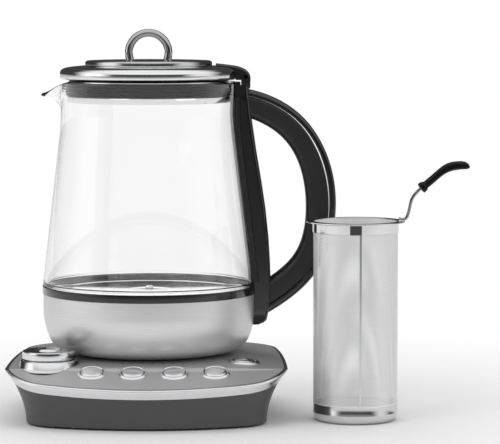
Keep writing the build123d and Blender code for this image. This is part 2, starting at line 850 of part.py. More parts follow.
socket_bore = connector_radius + 0.6
with BuildPart() as kettle_connector:
    turn(
        (socket_bore, bowl_foot - 0.5),
        (socket_radius, bowl_foot - 0.5),
        (socket_radius, bowl_foot + 2.0),
        (socket_radius + 4.0, bowl_foot + 2.0),
        (socket_radius + 4.0, bowl_foot + 3.5),
        (socket_radius, bowl_foot + 3.5),
        (socket_radius, bowl_foot + socket_height),
        (0, bowl_foot + socket_height),
        (0, bowl_foot + socket_height - 2.5),
        (socket_bore, bowl_foot + socket_height - 2.5),
    )
    ring(connector_pin_radius - running_gap, 0, bowl_foot + 4.0, bowl_foot + socket_height - 1)
save(kettle_connector.part, "kettle_connector")


def kettle_envelope(gap):
    """Solid hull of the kettle's outer surface below the lid, grown by gap."""
    with BuildPart() as hull:
        add(bowl_form(-gap))
        add(glass_form(-gap))
        ring(neck_radius + gap, 0, neck_corner + 15, glass_top + 5)
        ring(collar_radius + gap, 0, bowl_top - 3, collar_top + 2)
    return hull.part


# ---------------------------------------------------------------- kettle: handle


def strap_side():
    """Side view of the strap: straight along the glass, with a rounded tail on the bowl."""
    top = (neck_radius + strap_depth, strap_top)
    waist = (neck_radius + strap_depth + 2.6, neck_corner + 4)
    collar = (collar_radius + strap_depth + strap_growth, collar_top + 6)
    tail = (collar_radius + strap_depth - strap_tail_in, strap_tail + strap_tail_round)
    tail_inside = (collar_radius - 1.6, strap_tail + strap_tail_round)
    inside = neck_radius - 8
    with BuildLine() as edge:
        Spline(top, waist, collar, tail, tangents=[(0.1, -1), (-0.12, -1)])
        ThreePointArc(tail, (collar_radius + 3.6, strap_tail), tail_inside)
        Polyline(tail_inside, (inside, strap_tail + 40), (inside, strap_top), top)
    return make_face(edge.line)


def curve_beside(curve, distance, steps=10):
    """Spline that runs beside a curve of the XY plane, on its right, at a constant distance."""
    points = []
    for step in range(steps + 1):
        along = curve % (step / steps)
        points.append(curve @ (step / steps) + Vector(along.Y, -along.X, 0) * distance)
    return Spline(*points)


strap_face = Plane.XZ * strap_side()
strap_block = extrude(strap_face, amount=strap_half, both=True)
backing_block = extrude(strap_face, amount=backing_half, both=True)
tall = 2 * glass_top
backing_height = backing_top - backing_bottom
over_collar = Pos(0, 0, backing_bottom + backing_height / 2) * Box(tall, tall, backing_height)
backing_room = kettle_envelope(backing + seat_gap) & over_collar

root_inside = neck_radius + 2.0
outer_curve = Spline(
    (root_inside, grip_root_top + 1.5),
    handle_shoulder,
    (handle_reach, handle_reach_z),
    handle_heel,
    (grip_root_bottom_x - 8, grip_root_bottom - 3),
    tangents=[(1, -0.12), (-1, -0.55)],
)
grip_curve = curve_beside(outer_curve, trim_depth)
finger_curve = Spline(
    (root_inside, finger_top + 3),
    finger_shoulder,
    (finger_reach, finger_reach_z),
    finger_heel,
    (grip_root_bottom_x - 8, finger_bottom - 4.5),
    tangents=[(1, -0.25), (-1, -0.65)],
)


def band(outside, inside):
    """Face between two curves that run the same way."""
    ends = [Line(outside @ 0, inside @ 0), Line(outside @ 1, inside @ 1)]
    return Plane.XZ * make_face(Curve() + [outside, inside] + ends)


grip_face = band(grip_curve, finger_curve)
trim_face = band(outer_curve, grip_curve)
screw_heights = ((grip_root_top + finger_top) / 2, (grip_root_bottom + finger_bottom) / 2 + 3.0)


def handle_screw(radius, head_radius, extra):
    """Both screws that hold the grip, from behind the strap outwards."""
    with BuildPart() as screws:
        for height, start in zip(screw_heights, (neck_radius + backing + 0.2, collar_radius + 0.4)):
            along = Plane(origin=(start - extra, 0, height), z_dir=(1, 0, 0))
            with BuildSketch(along) as head:
                Circle(head_radius)
            extrude(head.sketch, amount=1.5 + extra)
            with BuildSketch(along) as shank:
                Circle(radius)
            extrude(shank.sketch, amount=handle_screw_length + 2 * extra)
    return screws.part


def long_edges(piece, half, shortest):
    """Edges of a flat-sided piece that run round its two sides."""
    return piece.edges().filter_by(lambda e: abs(e.center().Y) > half - 0.01 and e.length > shortest)


screw_room = handle_screw(handle_screw_radius + seat_gap, handle_screw_head + seat_gap, 0.15)

with BuildPart() as handle_strap:
    add(strap_block)
    fillet(long_edges(handle_strap, strap_half, 100), radius=strap_edge)
    add(kettle_envelope(seat_gap), mode=Mode.SUBTRACT)
    add(backing_room, mode=Mode.SUBTRACT)
    for side in (-1, 1):
        ear_plane = Plane.XZ.offset(-side * (ear_inner + ear_outer) / 2)
        with BuildSketch(ear_plane):
            with Locations((hinge_x, hinge_z)):
                Circle(ear_radius)
            with Locations((hinge_x, (hinge_z + strap_top - 2) / 2)):
                Rectangle(2 * ear_radius, hinge_z - strap_top + 2)
        extrude(amount=(ear_outer - ear_inner) / 2, both=True)
    with Locations(Plane(origin=(hinge_x, 0, hinge_z), z_dir=(0, 1, 0))):
        Cylinder(pin_radius + pin_press, 4 * ear_outer, mode=Mode.SUBTRACT)
    add(screw_room, mode=Mode.SUBTRACT)
save(handle_strap.part, "handle_strap")

with BuildPart() as strap_backing:
    add(backing_block & over_collar)
    add(kettle_envelope(backing), mode=Mode.INTERSECT)
    add(kettle_envelope(seat_gap), mode=Mode.SUBTRACT)
save(strap_backing.part, "strap_backing")

with BuildPart() as handle_grip:
    add(extrude(grip_face, amount=grip_half, both=True))
    fillet(long_edges(handle_grip, grip_half, 60), radius=grip_round)
    add(strap_block, mode=Mode.SUBTRACT)
    add(kettle_envelope(backing), mode=Mode.SUBTRACT)
    add(screw_room, mode=Mode.SUBTRACT)
save(handle_grip.part.solids().sort_by(SortBy.VOLUME)[-1], "handle_grip")

with BuildPart() as handle_trim:
    add(extrude(trim_face, amount=trim_half, both=True))
    outer_edges = long_edges(handle_trim, trim_half, 60).sort_by(SortBy.LENGTH)[-2:]
    chamfer(outer_edges, length=trim_bevel)
    add(strap_block, mode=Mode.SUBTRACT)
    add(kettle_envelope(backing), mode=Mode.SUBTRACT)
save(handle_trim.part.solids().sort_by(SortBy.VOLUME)[-1], "handle_trim")

save(handle_screw(handle_screw_radius, handle_screw_head, 0), "handle_screws")

with BuildPart() as hinge_pin:
    with BuildSketch(Plane.XZ.offset(-ear_outer)):
        with Locations((hinge_x, hinge_z)):
            Circle(pin_radius)
    extrude(amount=2 * ear_outer)
save(hinge_pin.part, "hinge_pin")


# ---------------------------------------------------------------- lid
def dome_points(inset):
    """Ends and pulls of the lid's shoulder in side view, from its edge to the cap's seat."""
    start = (lid_radius - inset, lid_edge + lid_edge_height)
    start_pull = (lid_radius - inset, start[1] + lid_edge_pull - 0.7 * inset)
    end_pull = (lid_seat_radius + lid_seat_pull, lid_seat - lid_seat_fall - inset)
    end = (lid_seat_radius, lid_seat - inset)
    return start, start_pull, end_pull, end


def dome_curve(inset):
    """Smooth line over the lid's shoulder, upright at its edge and nearly level at the cap's seat."""
    return Bezier(*dome_points(inset))


def dome_solid(gap):
    """Everything under the lid's outer surface, grown by gap."""
    start, _, _, end = dome_points(-gap)
    with BuildPart() as dome:
        with BuildSketch(Plane.XZ) as section:
            with BuildLine():
                Line((0, lid_edge - gap), (start[0], lid_edge - gap))
                Line((start[0], lid_edge - gap), start)
                dome_curve(-gap)
                Line(end, (0, end[1]))
                Line((0, end[1]), (0, lid_edge - gap))
            make_face()
        revolve(section.sketch, axis=Axis.Z)
    return dome.part


lid_underside = lid_seat - lid_sheet

with BuildPart() as lid_shell:
    outer_start, outer_end = dome_points(0)[0], dome_points(0)[-1]
    inner_start, inner_end = dome_points(lid_sheet)[0], dome_points(lid_sheet)[-1]
    with BuildSketch(Plane.XZ) as shell_section:
        with BuildLine():
            Polyline(inner_start, (inner_start[0], lid_edge + 1.0), (inner_start[0] - 1.0, lid_edge))
            Polyline((inner_start[0] - 1.0, lid_edge), (lid_radius - 1.2, lid_edge), outer_start)
            dome_curve(0)
            Polyline(outer_end, (lid_opening, lid_seat), (lid_opening, lid_underside), inner_end)
            dome_curve(lid_sheet)
        make_face()
    revolve(axis=Axis.Z)
save(lid_shell.part, "lid_shell")

liner_bore = strainer_radius + liner_ease
with BuildPart() as lid_liner:
    ring(liner_radius, liner_bore, liner_bottom, liner_bottom + liner_wall)
    ring(liner_radius, gasket_inner - liner_wall, liner_bottom, liner_bottom + liner_flange)
    ring(gasket_inner, gasket_inner - liner_wall, liner_bottom, lid_edge + liner_rise)
    ring(lid_opening + liner_wall, lid_opening, liner_bottom, lid_underside)
    ring(lid_opening, liner_bore, ledge_level - liner_wall, ledge_level)
    ring(lid_opening, liner_bore, liner_bottom, liner_bottom + liner_wall, mode=Mode.SUBTRACT)
save(lid_liner.part, "lid_liner")

fin_pitch = (gasket_high - gasket_low) / gasket_fins

with BuildPart() as lid_gasket:
    gasket_bore = gasket_inner + seat_gap
    gasket_core = gasket_radius - gasket_taper - fin_depth
    ring(gasket_core, gasket_bore, gasket_low, gasket_high)
    for count in range(gasket_fins):
        fin_low = gasket_low + count * fin_pitch
        fin_reach = gasket_radius - gasket_taper * (1 - (count + 1) / gasket_fins)
        ring(fin_reach, gasket_bore, fin_low, fin_low + fin_pitch - fin_groove)
save(lid_gasket.part, "lid_gasket")

ear_room = ear_radius + running_gap
with BuildPart() as lid_hinge_cap:
    with BuildSketch(Plane.XZ) as hinge_side:
        with BuildLine():
            Polyline(
                (hinge_x - hinge_cap_reach, lid_edge),
                (hinge_x - hinge_cap_reach, hinge_cap_front),
                (hinge_x - 10.5, hinge_z + 8.0),
            )
            Spline(
                (hinge_x - 10.5, hinge_z + 8.0),
                (hinge_x - 4.5, hinge_z + 6.8),
                (hinge_x + 1.2, hinge_z + 3.6),
                (hinge_x + 3.5, hinge_z - 0.6),
            )
            Polyline(
                (hinge_x + 3.5, hinge_z - 0.6),
                (hinge_x + 3.5, hinge_z - hinge_cap_drop),
                (hinge_x - ear_radius, hinge_z - hinge_cap_drop),
                (hinge_x - ear_radius, lid_edge),
                (hinge_x - hinge_cap_reach, lid_edge),
            )
        make_face()
    extrude(amount=hinge_cap_half, both=True)
    fillet(lid_hinge_cap.edges().filter_by(
        lambda e: abs(e.center().Y) > hinge_cap_half - 0.01 and e.center().Z > hinge_z + 4), radius=1.2)
    add(dome_solid(hinge_cap_gap), mode=Mode.SUBTRACT)
    for side in (-1, 1):
        middle_y = side * (ear_inner + ear_outer) / 2
        pocket = ear_outer - ear_inner + 2 * ear_side_gap
        with Locations((hinge_x, middle_y, hinge_z)):
            Cylinder(ear_room, pocket, rotation=(90, 0, 0), mode=Mode.SUBTRACT)
        with Locations((hinge_x - ear_room + tall / 2, middle_y, hinge_z + ear_room - tall / 2)):
            Box(tall, pocket, tall, mode=Mode.SUBTRACT)
        with Locations((hinge_x, middle_y, hinge_z - tall / 2)):
            Box(2 * ear_room, pocket, tall, mode=Mode.SUBTRACT)
    with Locations((hinge_x, 0, hinge_z)):
        Cylinder(pin_radius + pin_ease, 4 * ear_outer, rotation=(90, 0, 0), mode=Mode.SUBTRACT)
save(lid_hinge_cap.part, "lid_hinge_cap")

with BuildPart() as cap_cover:
    turn(
        (0, cap_top),
        (cap_flat_radius, cap_top),
        (cap_radius - cap_bevel, cap_edge + 0.2),
        (cap_radius, cap_edge - 0.5),
        (cap_radius, lid_seat),
        (cap_skirt_radius, lid_seat),
        (cap_skirt_radius, lid_seat - cap_skirt),
        (cap_skirt_radius - cap_wall, lid_seat - cap_skirt),
        (cap_skirt_radius - cap_wall, cap_edge - cap_wall),
        (0, cap_top - cap_wall),
    )
save(cap_cover.part, "cap_cover")

with BuildPart() as cap_seal:
    seal_reach = lid_opening - running_gap
    seal_bore = cap_skirt_radius + seat_gap
    seal_bottom = lid_seat - cap_skirt
    ring(seal_reach - seal_rib, seal_bore, seal_bottom + 0.6, lid_seat - 1.0)
    for low in (seal_bottom + 1.0, lid_seat - 2.8):
        ring(seal_reach, seal_bore, low, low + 1.0)
save(cap_seal.part, "cap_seal")

with BuildPart() as cap_loop:
    with Locations((0, 0, loop_centre)):
        Torus(loop_radius, loop_wire / 2, rotation=(90, 0, 0))
    with Locations((0, 0, cap_top - tall / 2)):
        Box(tall, tall, tall, mode=Mode.SUBTRACT)
save(cap_loop.part, "cap_loop")


# ---------------------------------------------------------------- strainer
def strainer_side(point):
    """Place a side-view point, given from the strainer's axis and rim, on the XZ plane."""
    return (strainer_x + point[0], strainer_height + point[1])


def strainer_ring(outer, inner, low, high):
    """Upright ring about the strainer's axis."""
    with BuildSketch(Plane.XY.offset(low)) as section:
        with Locations((strainer_x, strainer_y)):
            Circle(outer)
            Circle(inner, mode=Mode.SUBTRACT)
    extrude(section.sketch, amount=high - low)


with BuildPart() as strainer_rim:
    inner_radius = strainer_radius - strainer_sheet
    band_radius = strainer_radius + strainer_sheet
    flange_under = strainer_height - strainer_sheet
    strainer_ring(rim_flange, inner_radius, flange_under, strainer_height)
    strainer_ring(band_radius, strainer_radius, strainer_height - strainer_band, flange_under)
    strainer_ring(rim_flange, rim_flange - strainer_sheet, flange_under - strainer_sheet, flange_under)
save(strainer_rim.part, "strainer_rim")

with BuildPart() as strainer_wall:
    with BuildSketch(Plane.XY.offset(cup_height)):
        with Locations((strainer_x, strainer_y)):
            Circle(strainer_radius)
            Circle(strainer_radius - strainer_sheet, mode=Mode.SUBTRACT)
    extrude(amount=strainer_height - strainer_sheet - cup_height)
save(strainer_wall.part, "strainer_wall")

with BuildPart() as strainer_cup:
    with BuildSketch():
        with Locations((strainer_x, strainer_y)):
            Circle(strainer_radius)
    extrude(amount=cup_height)
    fillet(strainer_cup.edges().sort_by(Axis.Z)[0], radius=cup_round)
    offset(amount=-strainer_sheet, openings=strainer_cup.faces().sort_by(Axis.Z)[-1])
save(strainer_cup.part, "strainer_cup")

strainer_plane = Plane.XZ.offset(-strainer_y)
bracket_points = [bracket_root, bracket_bend, bracket_top, bracket_slope, bracket_end]

with BuildPart() as strainer_bracket:
    with BuildSketch(strainer_plane):
        with BuildLine() as bracket_line:
            FilletPolyline(*[strainer_side(point) for point in bracket_points], radius=bracket_round)
        trace(bracket_line.line, line_width=2 * wire_radius)
    extrude(amount=bracket_half, both=True)
save(strainer_bracket.part, "strainer_bracket")

with BuildPart() as strainer_grip:
    with BuildSketch(strainer_plane):
        with BuildLine():
            back = [grip_nose_top, grip_back_one, grip_back_two, grip_back_end]
            end = [grip_back_end, grip_tip, grip_belly_end]
            under = [grip_belly_end, grip_belly, grip_nose_low]
            Spline(*[strainer_side(point) for point in back])
            ThreePointArc(*[strainer_side(point) for point in end])
            Spline(*[strainer_side(point) for point in under])
            Line(strainer_side(grip_nose_low), strainer_side(grip_nose_top))
        make_face()
    extrude(amount=strainer_grip_half, both=True)
    fillet(
        strainer_grip.edges().filter_by(
            lambda e: abs(e.center().Y - strainer_y) > strainer_grip_half - 0.01 and e.length > 12),
        radius=strainer_grip_edge,
    )
    add(strainer_bracket.part, mode=Mode.SUBTRACT)
save(strainer_grip.part, "strainer_grip")
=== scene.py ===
import logging
from dataclasses import dataclass
from enum import Enum
from math import acos, atan2, cos, degrees, exp, hypot, pi, radians, sin, sqrt, tan
from typing import Iterable, Sequence

import bmesh
import bpy
from mathutils import Matrix, Vector


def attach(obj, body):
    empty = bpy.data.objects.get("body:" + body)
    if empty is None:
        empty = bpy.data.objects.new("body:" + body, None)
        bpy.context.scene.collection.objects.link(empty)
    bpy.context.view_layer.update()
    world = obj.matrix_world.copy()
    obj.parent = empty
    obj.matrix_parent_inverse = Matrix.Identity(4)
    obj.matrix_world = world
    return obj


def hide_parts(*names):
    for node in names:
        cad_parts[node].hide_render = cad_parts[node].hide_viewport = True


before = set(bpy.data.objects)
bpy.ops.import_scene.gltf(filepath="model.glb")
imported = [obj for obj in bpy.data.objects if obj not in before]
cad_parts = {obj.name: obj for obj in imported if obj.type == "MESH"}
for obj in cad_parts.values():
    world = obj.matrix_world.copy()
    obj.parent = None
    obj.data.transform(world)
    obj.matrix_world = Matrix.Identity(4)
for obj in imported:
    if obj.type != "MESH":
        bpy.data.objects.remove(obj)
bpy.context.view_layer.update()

MM = 0.001                # a millimetre in metres
PER_METRE = 1000.0        # millimetres in a metre
QUARTER = pi / 2
WHITE = (1.0, 1.0, 1.0, 1.0)
log = logging.getLogger("scene")
Point = tuple[float, float]
Point3 = tuple[float, float, float]
Outline = Sequence[Point]
Socket = bpy.types.NodeSocket
Fed = float | Sequence[float] | Socket
Sockets = dict[int | str, Fed]


# ---------------------------------------------------------------- node graphs
class Graph:
    """Adds and links nodes of one node tree with little writing."""

    # The Mix node repeats its socket names, so its colour sockets go by number.
    mix_factor, mix_first, mix_second, mix_result = 0, 6, 7, 2

    def __init__(self, tree: bpy.types.NodeTree) -> None:
        """Work on this tree."""
        self.tree = tree

    def node(self, kind: str, inputs: Sockets | None = None, **settings: object) -> bpy.types.Node:
        """Add a node.

        Args:
            kind: node type without its ShaderNode prefix.
            inputs: socket name or number to a value or an output socket.
            settings: node attributes.

        Returns:
            The new node.
        """
        made = self.tree.nodes.new("ShaderNode" + kind)
        for key, value in settings.items():
            setattr(made, key, value)
        self.wire(made, inputs or {})
        return made

    def wire(self, node: bpy.types.Node, inputs: Sockets) -> None:
        """Feed a node's inputs, by name or number."""
        for key, value in inputs.items():
            self.feed(node.inputs[key], value)

    def feed(self, socket: Socket, value: Fed) -> None:
        """Link an output socket to an input, or set the input's value.

        Args:
            socket: the input.
            value: an output socket, or a plain value.
        """
        if isinstance(value, Socket):
            self.tree.links.new(value, socket)
        else:
            socket.default_value = value

    def math(self, operation: str, *values: Fed) -> Socket:
        """Output of a Math node over one to three values."""
        return self.node("Math", dict(enumerate(values)), operation=operation).outputs[0]

    def product(self, first: Fed, second: Fed) -> Socket:
        """Two values multiplied."""
        return self.math("MULTIPLY", first, second)

    def length(self, first: Socket, second: Socket) -> Socket:
        """Length of a flat vector from its two parts."""
        squares = [self.product(part, part) for part in (first, second)]
        return self.math("SQRT", self.math("ADD", *squares))

    def spread(self, value: Fed, low: float, high: float, to_low: float = 0.0, to_high: float = 1.0) -> Socket:
        """Output of a clamped Map Range node."""
        inputs = {"Value": value, "From Min": low, "From Max": high, "To Min": to_low, "To Max": to_high}
        return self.node("MapRange", inputs).outputs["Result"]

    def noise(self, vector: Socket, scale: Fed, **others: float) -> Socket:
        """Value of a noise texture, with its other inputs by name."""
        return self.node("TexNoise", {"Vector": vector, "Scale": scale, **others}).outputs[0]

    def place(self) -> Socket:
        """The surface point in the object's own frame."""
        return self.node("TexCoord").outputs["Object"]

    def parts(self, vector: Socket) -> bpy.types.NodeOutputs:
        """X, Y and Z of a vector."""
        return self.node("SeparateXYZ", {0: vector}).outputs

    def off_axis(self, centre_x: Fed, centre_y: Fed) -> tuple[Socket, Socket, Socket]:
        """The surface point from an upright axis: along X, along Y, and its height.

        Args:
            centre_x: where the axis stands along X.
            centre_y: where it stands along Y.

        Returns:
            The three sockets.
        """
        place = self.parts(self.place())
        return (self.math("SUBTRACT", place["X"], centre_x), self.math("SUBTRACT", place["Y"], centre_y),
                place["Z"])

    def grey(self, tone: Fed) -> Socket:
        """The grey of a tone."""
        return self.node("CombineColor", {0: tone, 1: tone, 2: tone}).outputs[0]

    def blend(self, factor: Fed, first: Fed, second: Fed, mode: str = "MIX") -> Socket:
        """Output of a colour mix."""
        inputs = {self.mix_factor: factor, self.mix_first: first, self.mix_second: second}
        return self.node("Mix", inputs, data_type="RGBA", blend_type=mode).outputs[self.mix_result]

    def surface(self, share: Fed, first: bpy.types.Node, second: bpy.types.Node) -> None:
        """Send a mix of two shaders to the material's output.

        Args:
            share: share of the second shader.
            first: one shader.
            second: the other.
        """
        mixed = self.node("MixShader", {0: share, 1: first.outputs[0], 2: second.outputs[0]})
        output = next(n for n in self.tree.nodes if n.type == "OUTPUT_MATERIAL")
        self.feed(output.inputs["Surface"], mixed.outputs[0])


class Effect:
    """A shader effect kept as one node group, built when first used.

    Subclasses name their sockets and fill in the group.
    """

    title = "effect"
    takes: dict[str, float] = {}
    gives: tuple[str, ...] = ("Value",)

    @classmethod
    def tree(cls) -> bpy.types.NodeTree:
        """The node group, made at its first use.

        Returns:
            The group.
        """
        found = bpy.data.node_groups.get(cls.title)
        if found:
            return found
        made = bpy.data.node_groups.new(cls.title, "ShaderNodeTree")
        for name, value in cls.takes.items():
            socket = made.interface.new_socket(name=name, in_out="INPUT", socket_type="NodeSocketFloat")
            socket.default_value = value
        for name in cls.gives:
            made.interface.new_socket(name=name, in_out="OUTPUT", socket_type="NodeSocketFloat")
        graph = Graph(made)
        source = made.nodes.new("NodeGroupInput").outputs
        target = made.nodes.new("NodeGroupOutput")
        graph.wire(target, cls.fill(graph, source))
        return made

    @classmethod
    def fill(cls, graph: Graph, given: bpy.types.NodeOutputs) -> Sockets:
        """Add the group's nodes.

        Args:
            graph: the group's graph.
            given: the group's input sockets by name.

        Returns:
            What feeds each output, by name.
        """
        raise NotImplementedError

    @classmethod
    def use(cls, graph: Graph, **values: Fed) -> bpy.types.NodeOutputs:
        """Put the group into a material and return its outputs; underscores stand for spaces."""
        inputs = {key.replace("_", " "): value for key, value in values.items()}
        return graph.node("Group", inputs, node_tree=cls.tree()).outputs


class Streaks(Effect):
    """Fine brush lines. The kinds of it differ in which way the lines run."""

    @classmethod
    def lines(cls, graph: Graph, coordinates: Sockets) -> Sockets:
        """Noise over coordinates that change slowly along the lines and fast across them."""
        noise = graph.noise(graph.node("CombineXYZ", coordinates).outputs[0], 1.0, Detail=3.0, Roughness=0.6)
        return {"Value": graph.spread(noise, 0.3, 0.7)}


class TurnedStreaks(Streaks):
    """Brush lines that run round an upright axis, as on a turned or spun part."""

    title = "turned_streaks"
    takes = {"Centre X": 0.0, "Centre Y": 0.0, "Fineness": 3.0, "Length": 3.0}

    @classmethod
    def fill(cls, graph: Graph, given: bpy.types.NodeOutputs) -> Sockets:
        """Slow along the angle, fast along height and radius.

        Args:
            graph: the group's graph.
            given: the group's input sockets by name.

        Returns:
            What feeds each output, by name.
        """
        east, north, height = graph.off_axis(given["Centre X"], given["Centre Y"])
        angle = graph.math("ARCTAN2", north, east)
        outward = graph.math("ADD", height, graph.length(east, north))
        fine = graph.product(given["Fineness"], PER_METRE)
        return cls.lines(graph, {0: graph.product(angle, given["Length"]), 1: graph.product(outward, fine)})


class StraightStreaks(Streaks):
    """Brush lines along X, as on a ground sheet."""

    title = "straight_streaks"
    takes = {"Fineness": 3.0, "Length": 20.0}

    @classmethod
    def fill(cls, graph: Graph, given: bpy.types.NodeOutputs) -> Sockets:
        """Slow along X, fast along Y and Z.

        Args:
            graph: the group's graph.
            given: the group's input sockets by name.

        Returns:
            What feeds each output, by name.
        """
        place = graph.parts(graph.place())
        fine = graph.product(given["Fineness"], PER_METRE)
        return cls.lines(graph, {0: graph.product(place["X"], given["Length"]),
                                 1: graph.product(place["Y"], fine), 2: graph.product(place["Z"], fine)})


class Handling(Effect):
    """Soft blotches that fingers and cleaning leave on a smooth surface."""

    title = "handling"
    takes = {"Size": 30.0, "Amount": 1.0}
    gives = ("Value", "Height")
    breaking = 9.0            # how much finer the noise is that breaks the blotches up

    @classmethod
    def fill(cls, graph: Graph, given: bpy.types.NodeOutputs) -> Sockets:
        """Broad noise broken up by finer noise.

        Args:
            graph: the group's graph.
            given: the group's input sockets by name.

        Returns:
            What feeds each output, by name.
        """
        place = graph.place()
        scale = graph.math("DIVIDE", PER_METRE, given["Size"])
        broad = graph.noise(place, scale, Detail=4.0, Distortion=0.6)
        fine = graph.noise(place, graph.product(scale, cls.breaking), Detail=2.0)
        mask = graph.product(graph.spread(broad, 0.45, 0.75), graph.spread(fine, 0.3, 0.7, 0.5, 1.0))
        return {"Value": graph.product(mask, given["Amount"]), "Height": broad}


class MouldGrain(Effect):
    """Fine spark-eroded grain of a moulded part, with slow tone changes."""

    title = "mould_grain"
    takes = {"Grain": 0.4}
    gives = ("Height", "Tone")
    tone_scale = 14.0         # of the slow tone changes
    coarsening = 0.45         # of the noise over the grain's cells
    broad_share = 0.6         # of the slow changes in the tone

    @classmethod
    def fill(cls, graph: Graph, given: bpy.types.NodeOutputs) -> Sockets:
        """Cell noise for the grain, broad noise for the tone.

        Args:
            graph: the group's graph.
            given: the group's input sockets by name.

        Returns:
            What feeds each output, by name.
        """
        place = graph.place()
        scale = graph.math("DIVIDE", PER_METRE, given["Grain"])
        cells = graph.node("TexVoronoi", {"Vector": place, "Scale": scale}, feature="SMOOTH_F1")
        broad = graph.noise(place, cls.tone_scale, Detail=3.0)
        fine = graph.noise(place, graph.product(scale, cls.coarsening), Detail=2.0)
        tone = graph.math("ADD", graph.product(broad, cls.broad_share),
                          graph.product(fine, 1 - cls.broad_share))
        return {"Height": graph.math("ADD", cells.outputs["Distance"], fine), "Tone": tone}


class PunchedHoles(Effect):
    """Round holes in staggered rows about an upright axis, between two heights."""

    title = "punched_holes"
    takes = {"Centre X": 0.0, "Centre Y": 0.0, "Count": 100.0, "Pitch": 0.0015, "Row": 0.0013,
             "Hole": 0.27, "Low": 0.0, "High": 1.0}
    gives = ("Metal", "Height")
    dimple = 0.45             # how far the pressed edge of a hole reaches, in pitches

    @classmethod
    def fill(cls, graph: Graph, given: bpy.types.NodeOutputs) -> Sockets:
        """Distance to the nearest hole centre of a staggered lattice.

        Args:
            graph: the group's graph.
            given: the group's input sockets by name.

        Returns:
            What feeds each output, by name.
        """
        east, north, height = graph.off_axis(given["Centre X"], given["Centre Y"])
        turn = graph.math("DIVIDE", graph.math("ARCTAN2", north, east), 2 * pi)
        column = graph.product(graph.math("ADD", turn, 1.0), given["Count"])
        row = graph.math("DIVIDE", height, given["Row"])
        odd = graph.math("MODULO", graph.math("FLOOR", row), 2.0)
        column = graph.math("ADD", column, graph.product(odd, 0.5))
        across = graph.math("SUBTRACT", graph.math("FRACT", column), 0.5)
        up = graph.math("SUBTRACT", graph.math("FRACT", row), 0.5)
        up = graph.product(up, graph.math("DIVIDE", given["Row"], given["Pitch"]))
        away = graph.length(across, up)
        solid = graph.math("GREATER_THAN", away, given["Hole"])
        plain = graph.math("MAXIMUM", graph.math("LESS_THAN", height, given["Low"]),
                           graph.math("GREATER_THAN", height, given["High"]))
        return {"Metal": graph.math("MAXIMUM", solid, plain),
                "Height": graph.math("MAXIMUM", graph.spread(away, 0.0, cls.dimple), plain)}


# ---------------------------------------------------------------- finishes
class Grain(Enum):
    """Which way a metal is brushed."""

    TURNED = "turned"
    STRAIGHT = "straight"


@dataclass(frozen=True)
class Finish:
    """What a surface is made of and how it was finished."""

    name: str
    slot: str
    colour: Point3

    def material(self) -> bpy.types.Material:
        """The material, made at its first use.

        Returns:
            The material.
        """
        found = bpy.data.materials.get(self.name)
        if found:
            return found
        made = bpy.data.materials.new(self.name)
        made.use_nodes = True
        shader = made.node_tree.nodes["Principled BSDF"]
        shader.inputs["Base Color"].default_value = (*self.colour, 1.0)
        self.fill(Graph(made.node_tree), shader)
        return made

    def fill(self, graph: Graph, shader: bpy.types.Node) -> None:
        """Add what makes this finish.

        Args:
            graph: the material's graph.
            shader: its Principled BSDF.
        """
        raise NotImplementedError

    def tinted(self, graph: Graph, factor: Socket, low: float, high: float) -> Socket:
        """The finish's colour, made darker or lighter by a value from 0 to 1."""
        grey = graph.grey(graph.spread(factor, 0.0, 1.0, low, high))
        return graph.blend(1.0, (*self.colour, 1.0), grey, "MULTIPLY")

    def bump(self, graph: Graph, height: Socket, distance: float, strength: float) -> Socket:
        """The normal from a height in 0 to 1 and its depth in millimetres."""
        inputs = {"Height": height, "Distance": distance * MM, "Strength": strength}
        return graph.node("Bump", inputs).outputs[0]


@dataclass(frozen=True)
class BrushedMetal(Finish):
    """Metal with brush lines."""

    roughness: float = 0.3
    grain: Grain = Grain.TURNED
    fineness: float = 3.0
    shade: float = 0.12
    depth: float = 0.005
    stretch: float = 0.5
    metallic: float = 1.0

    def fill(self, graph: Graph, shader: bpy.types.Node) -> None:
        """Streaks in tone, roughness and height, highlights drawn across them, and faint handling marks.

        Args:
            graph: the material's graph.
            shader: its Principled BSDF.
        """
        if self.grain is Grain.TURNED:
            streaks = TurnedStreaks.use(graph, Fineness=self.fineness)["Value"]
            tangent = graph.node("Tangent", direction_type="RADIAL", axis="Z").outputs[0]
            graph.wire(shader, {"Anisotropic": self.stretch, "Tangent": tangent})
        else:
            streaks = StraightStreaks.use(graph, Fineness=self.fineness)["Value"]
        marks = Handling.use(graph, Size=40.0, Amount=0.04)["Value"]
        rough = graph.spread(streaks, 0.0, 1.0, self.roughness * 0.8, self.roughness * 1.2)
        graph.wire(shader, {
            "Base Color": self.tinted(graph, streaks, 1 - self.shade, 1 + 0.3 * self.shade),
            "Roughness": graph.math("ADD", rough, marks),
            "Metallic": self.metallic,
            "Normal": self.bump(graph, streaks, self.depth, 0.35),
        })


@dataclass(frozen=True)
class PolishedMetal(Finish):
    """Polished stainless steel or chrome plating."""

    roughness: float = 0.08
    marks: float = 0.06
    gloss: float = 0.0

    def fill(self, graph: Graph, shader: bpy.types.Node) -> None:
        """Handling marks over a mirror, with the slightest waviness.

        Args:
            graph: the material's graph.
            shader: its Principled BSDF.
        """
        marks = Handling.use(graph, Size=28.0)
        graph.wire(shader, {
            "Base Color": self.tinted(graph, marks["Value"], 1.0, 0.96),
            "Roughness": graph.spread(marks["Value"], 0.0, 1.0, self.roughness, self.roughness + self.marks),
            "Metallic": 1.0,
            "Coat Weight": self.gloss,
            "Normal": self.bump(graph, marks["Height"], 0.05, 0.1),
        })


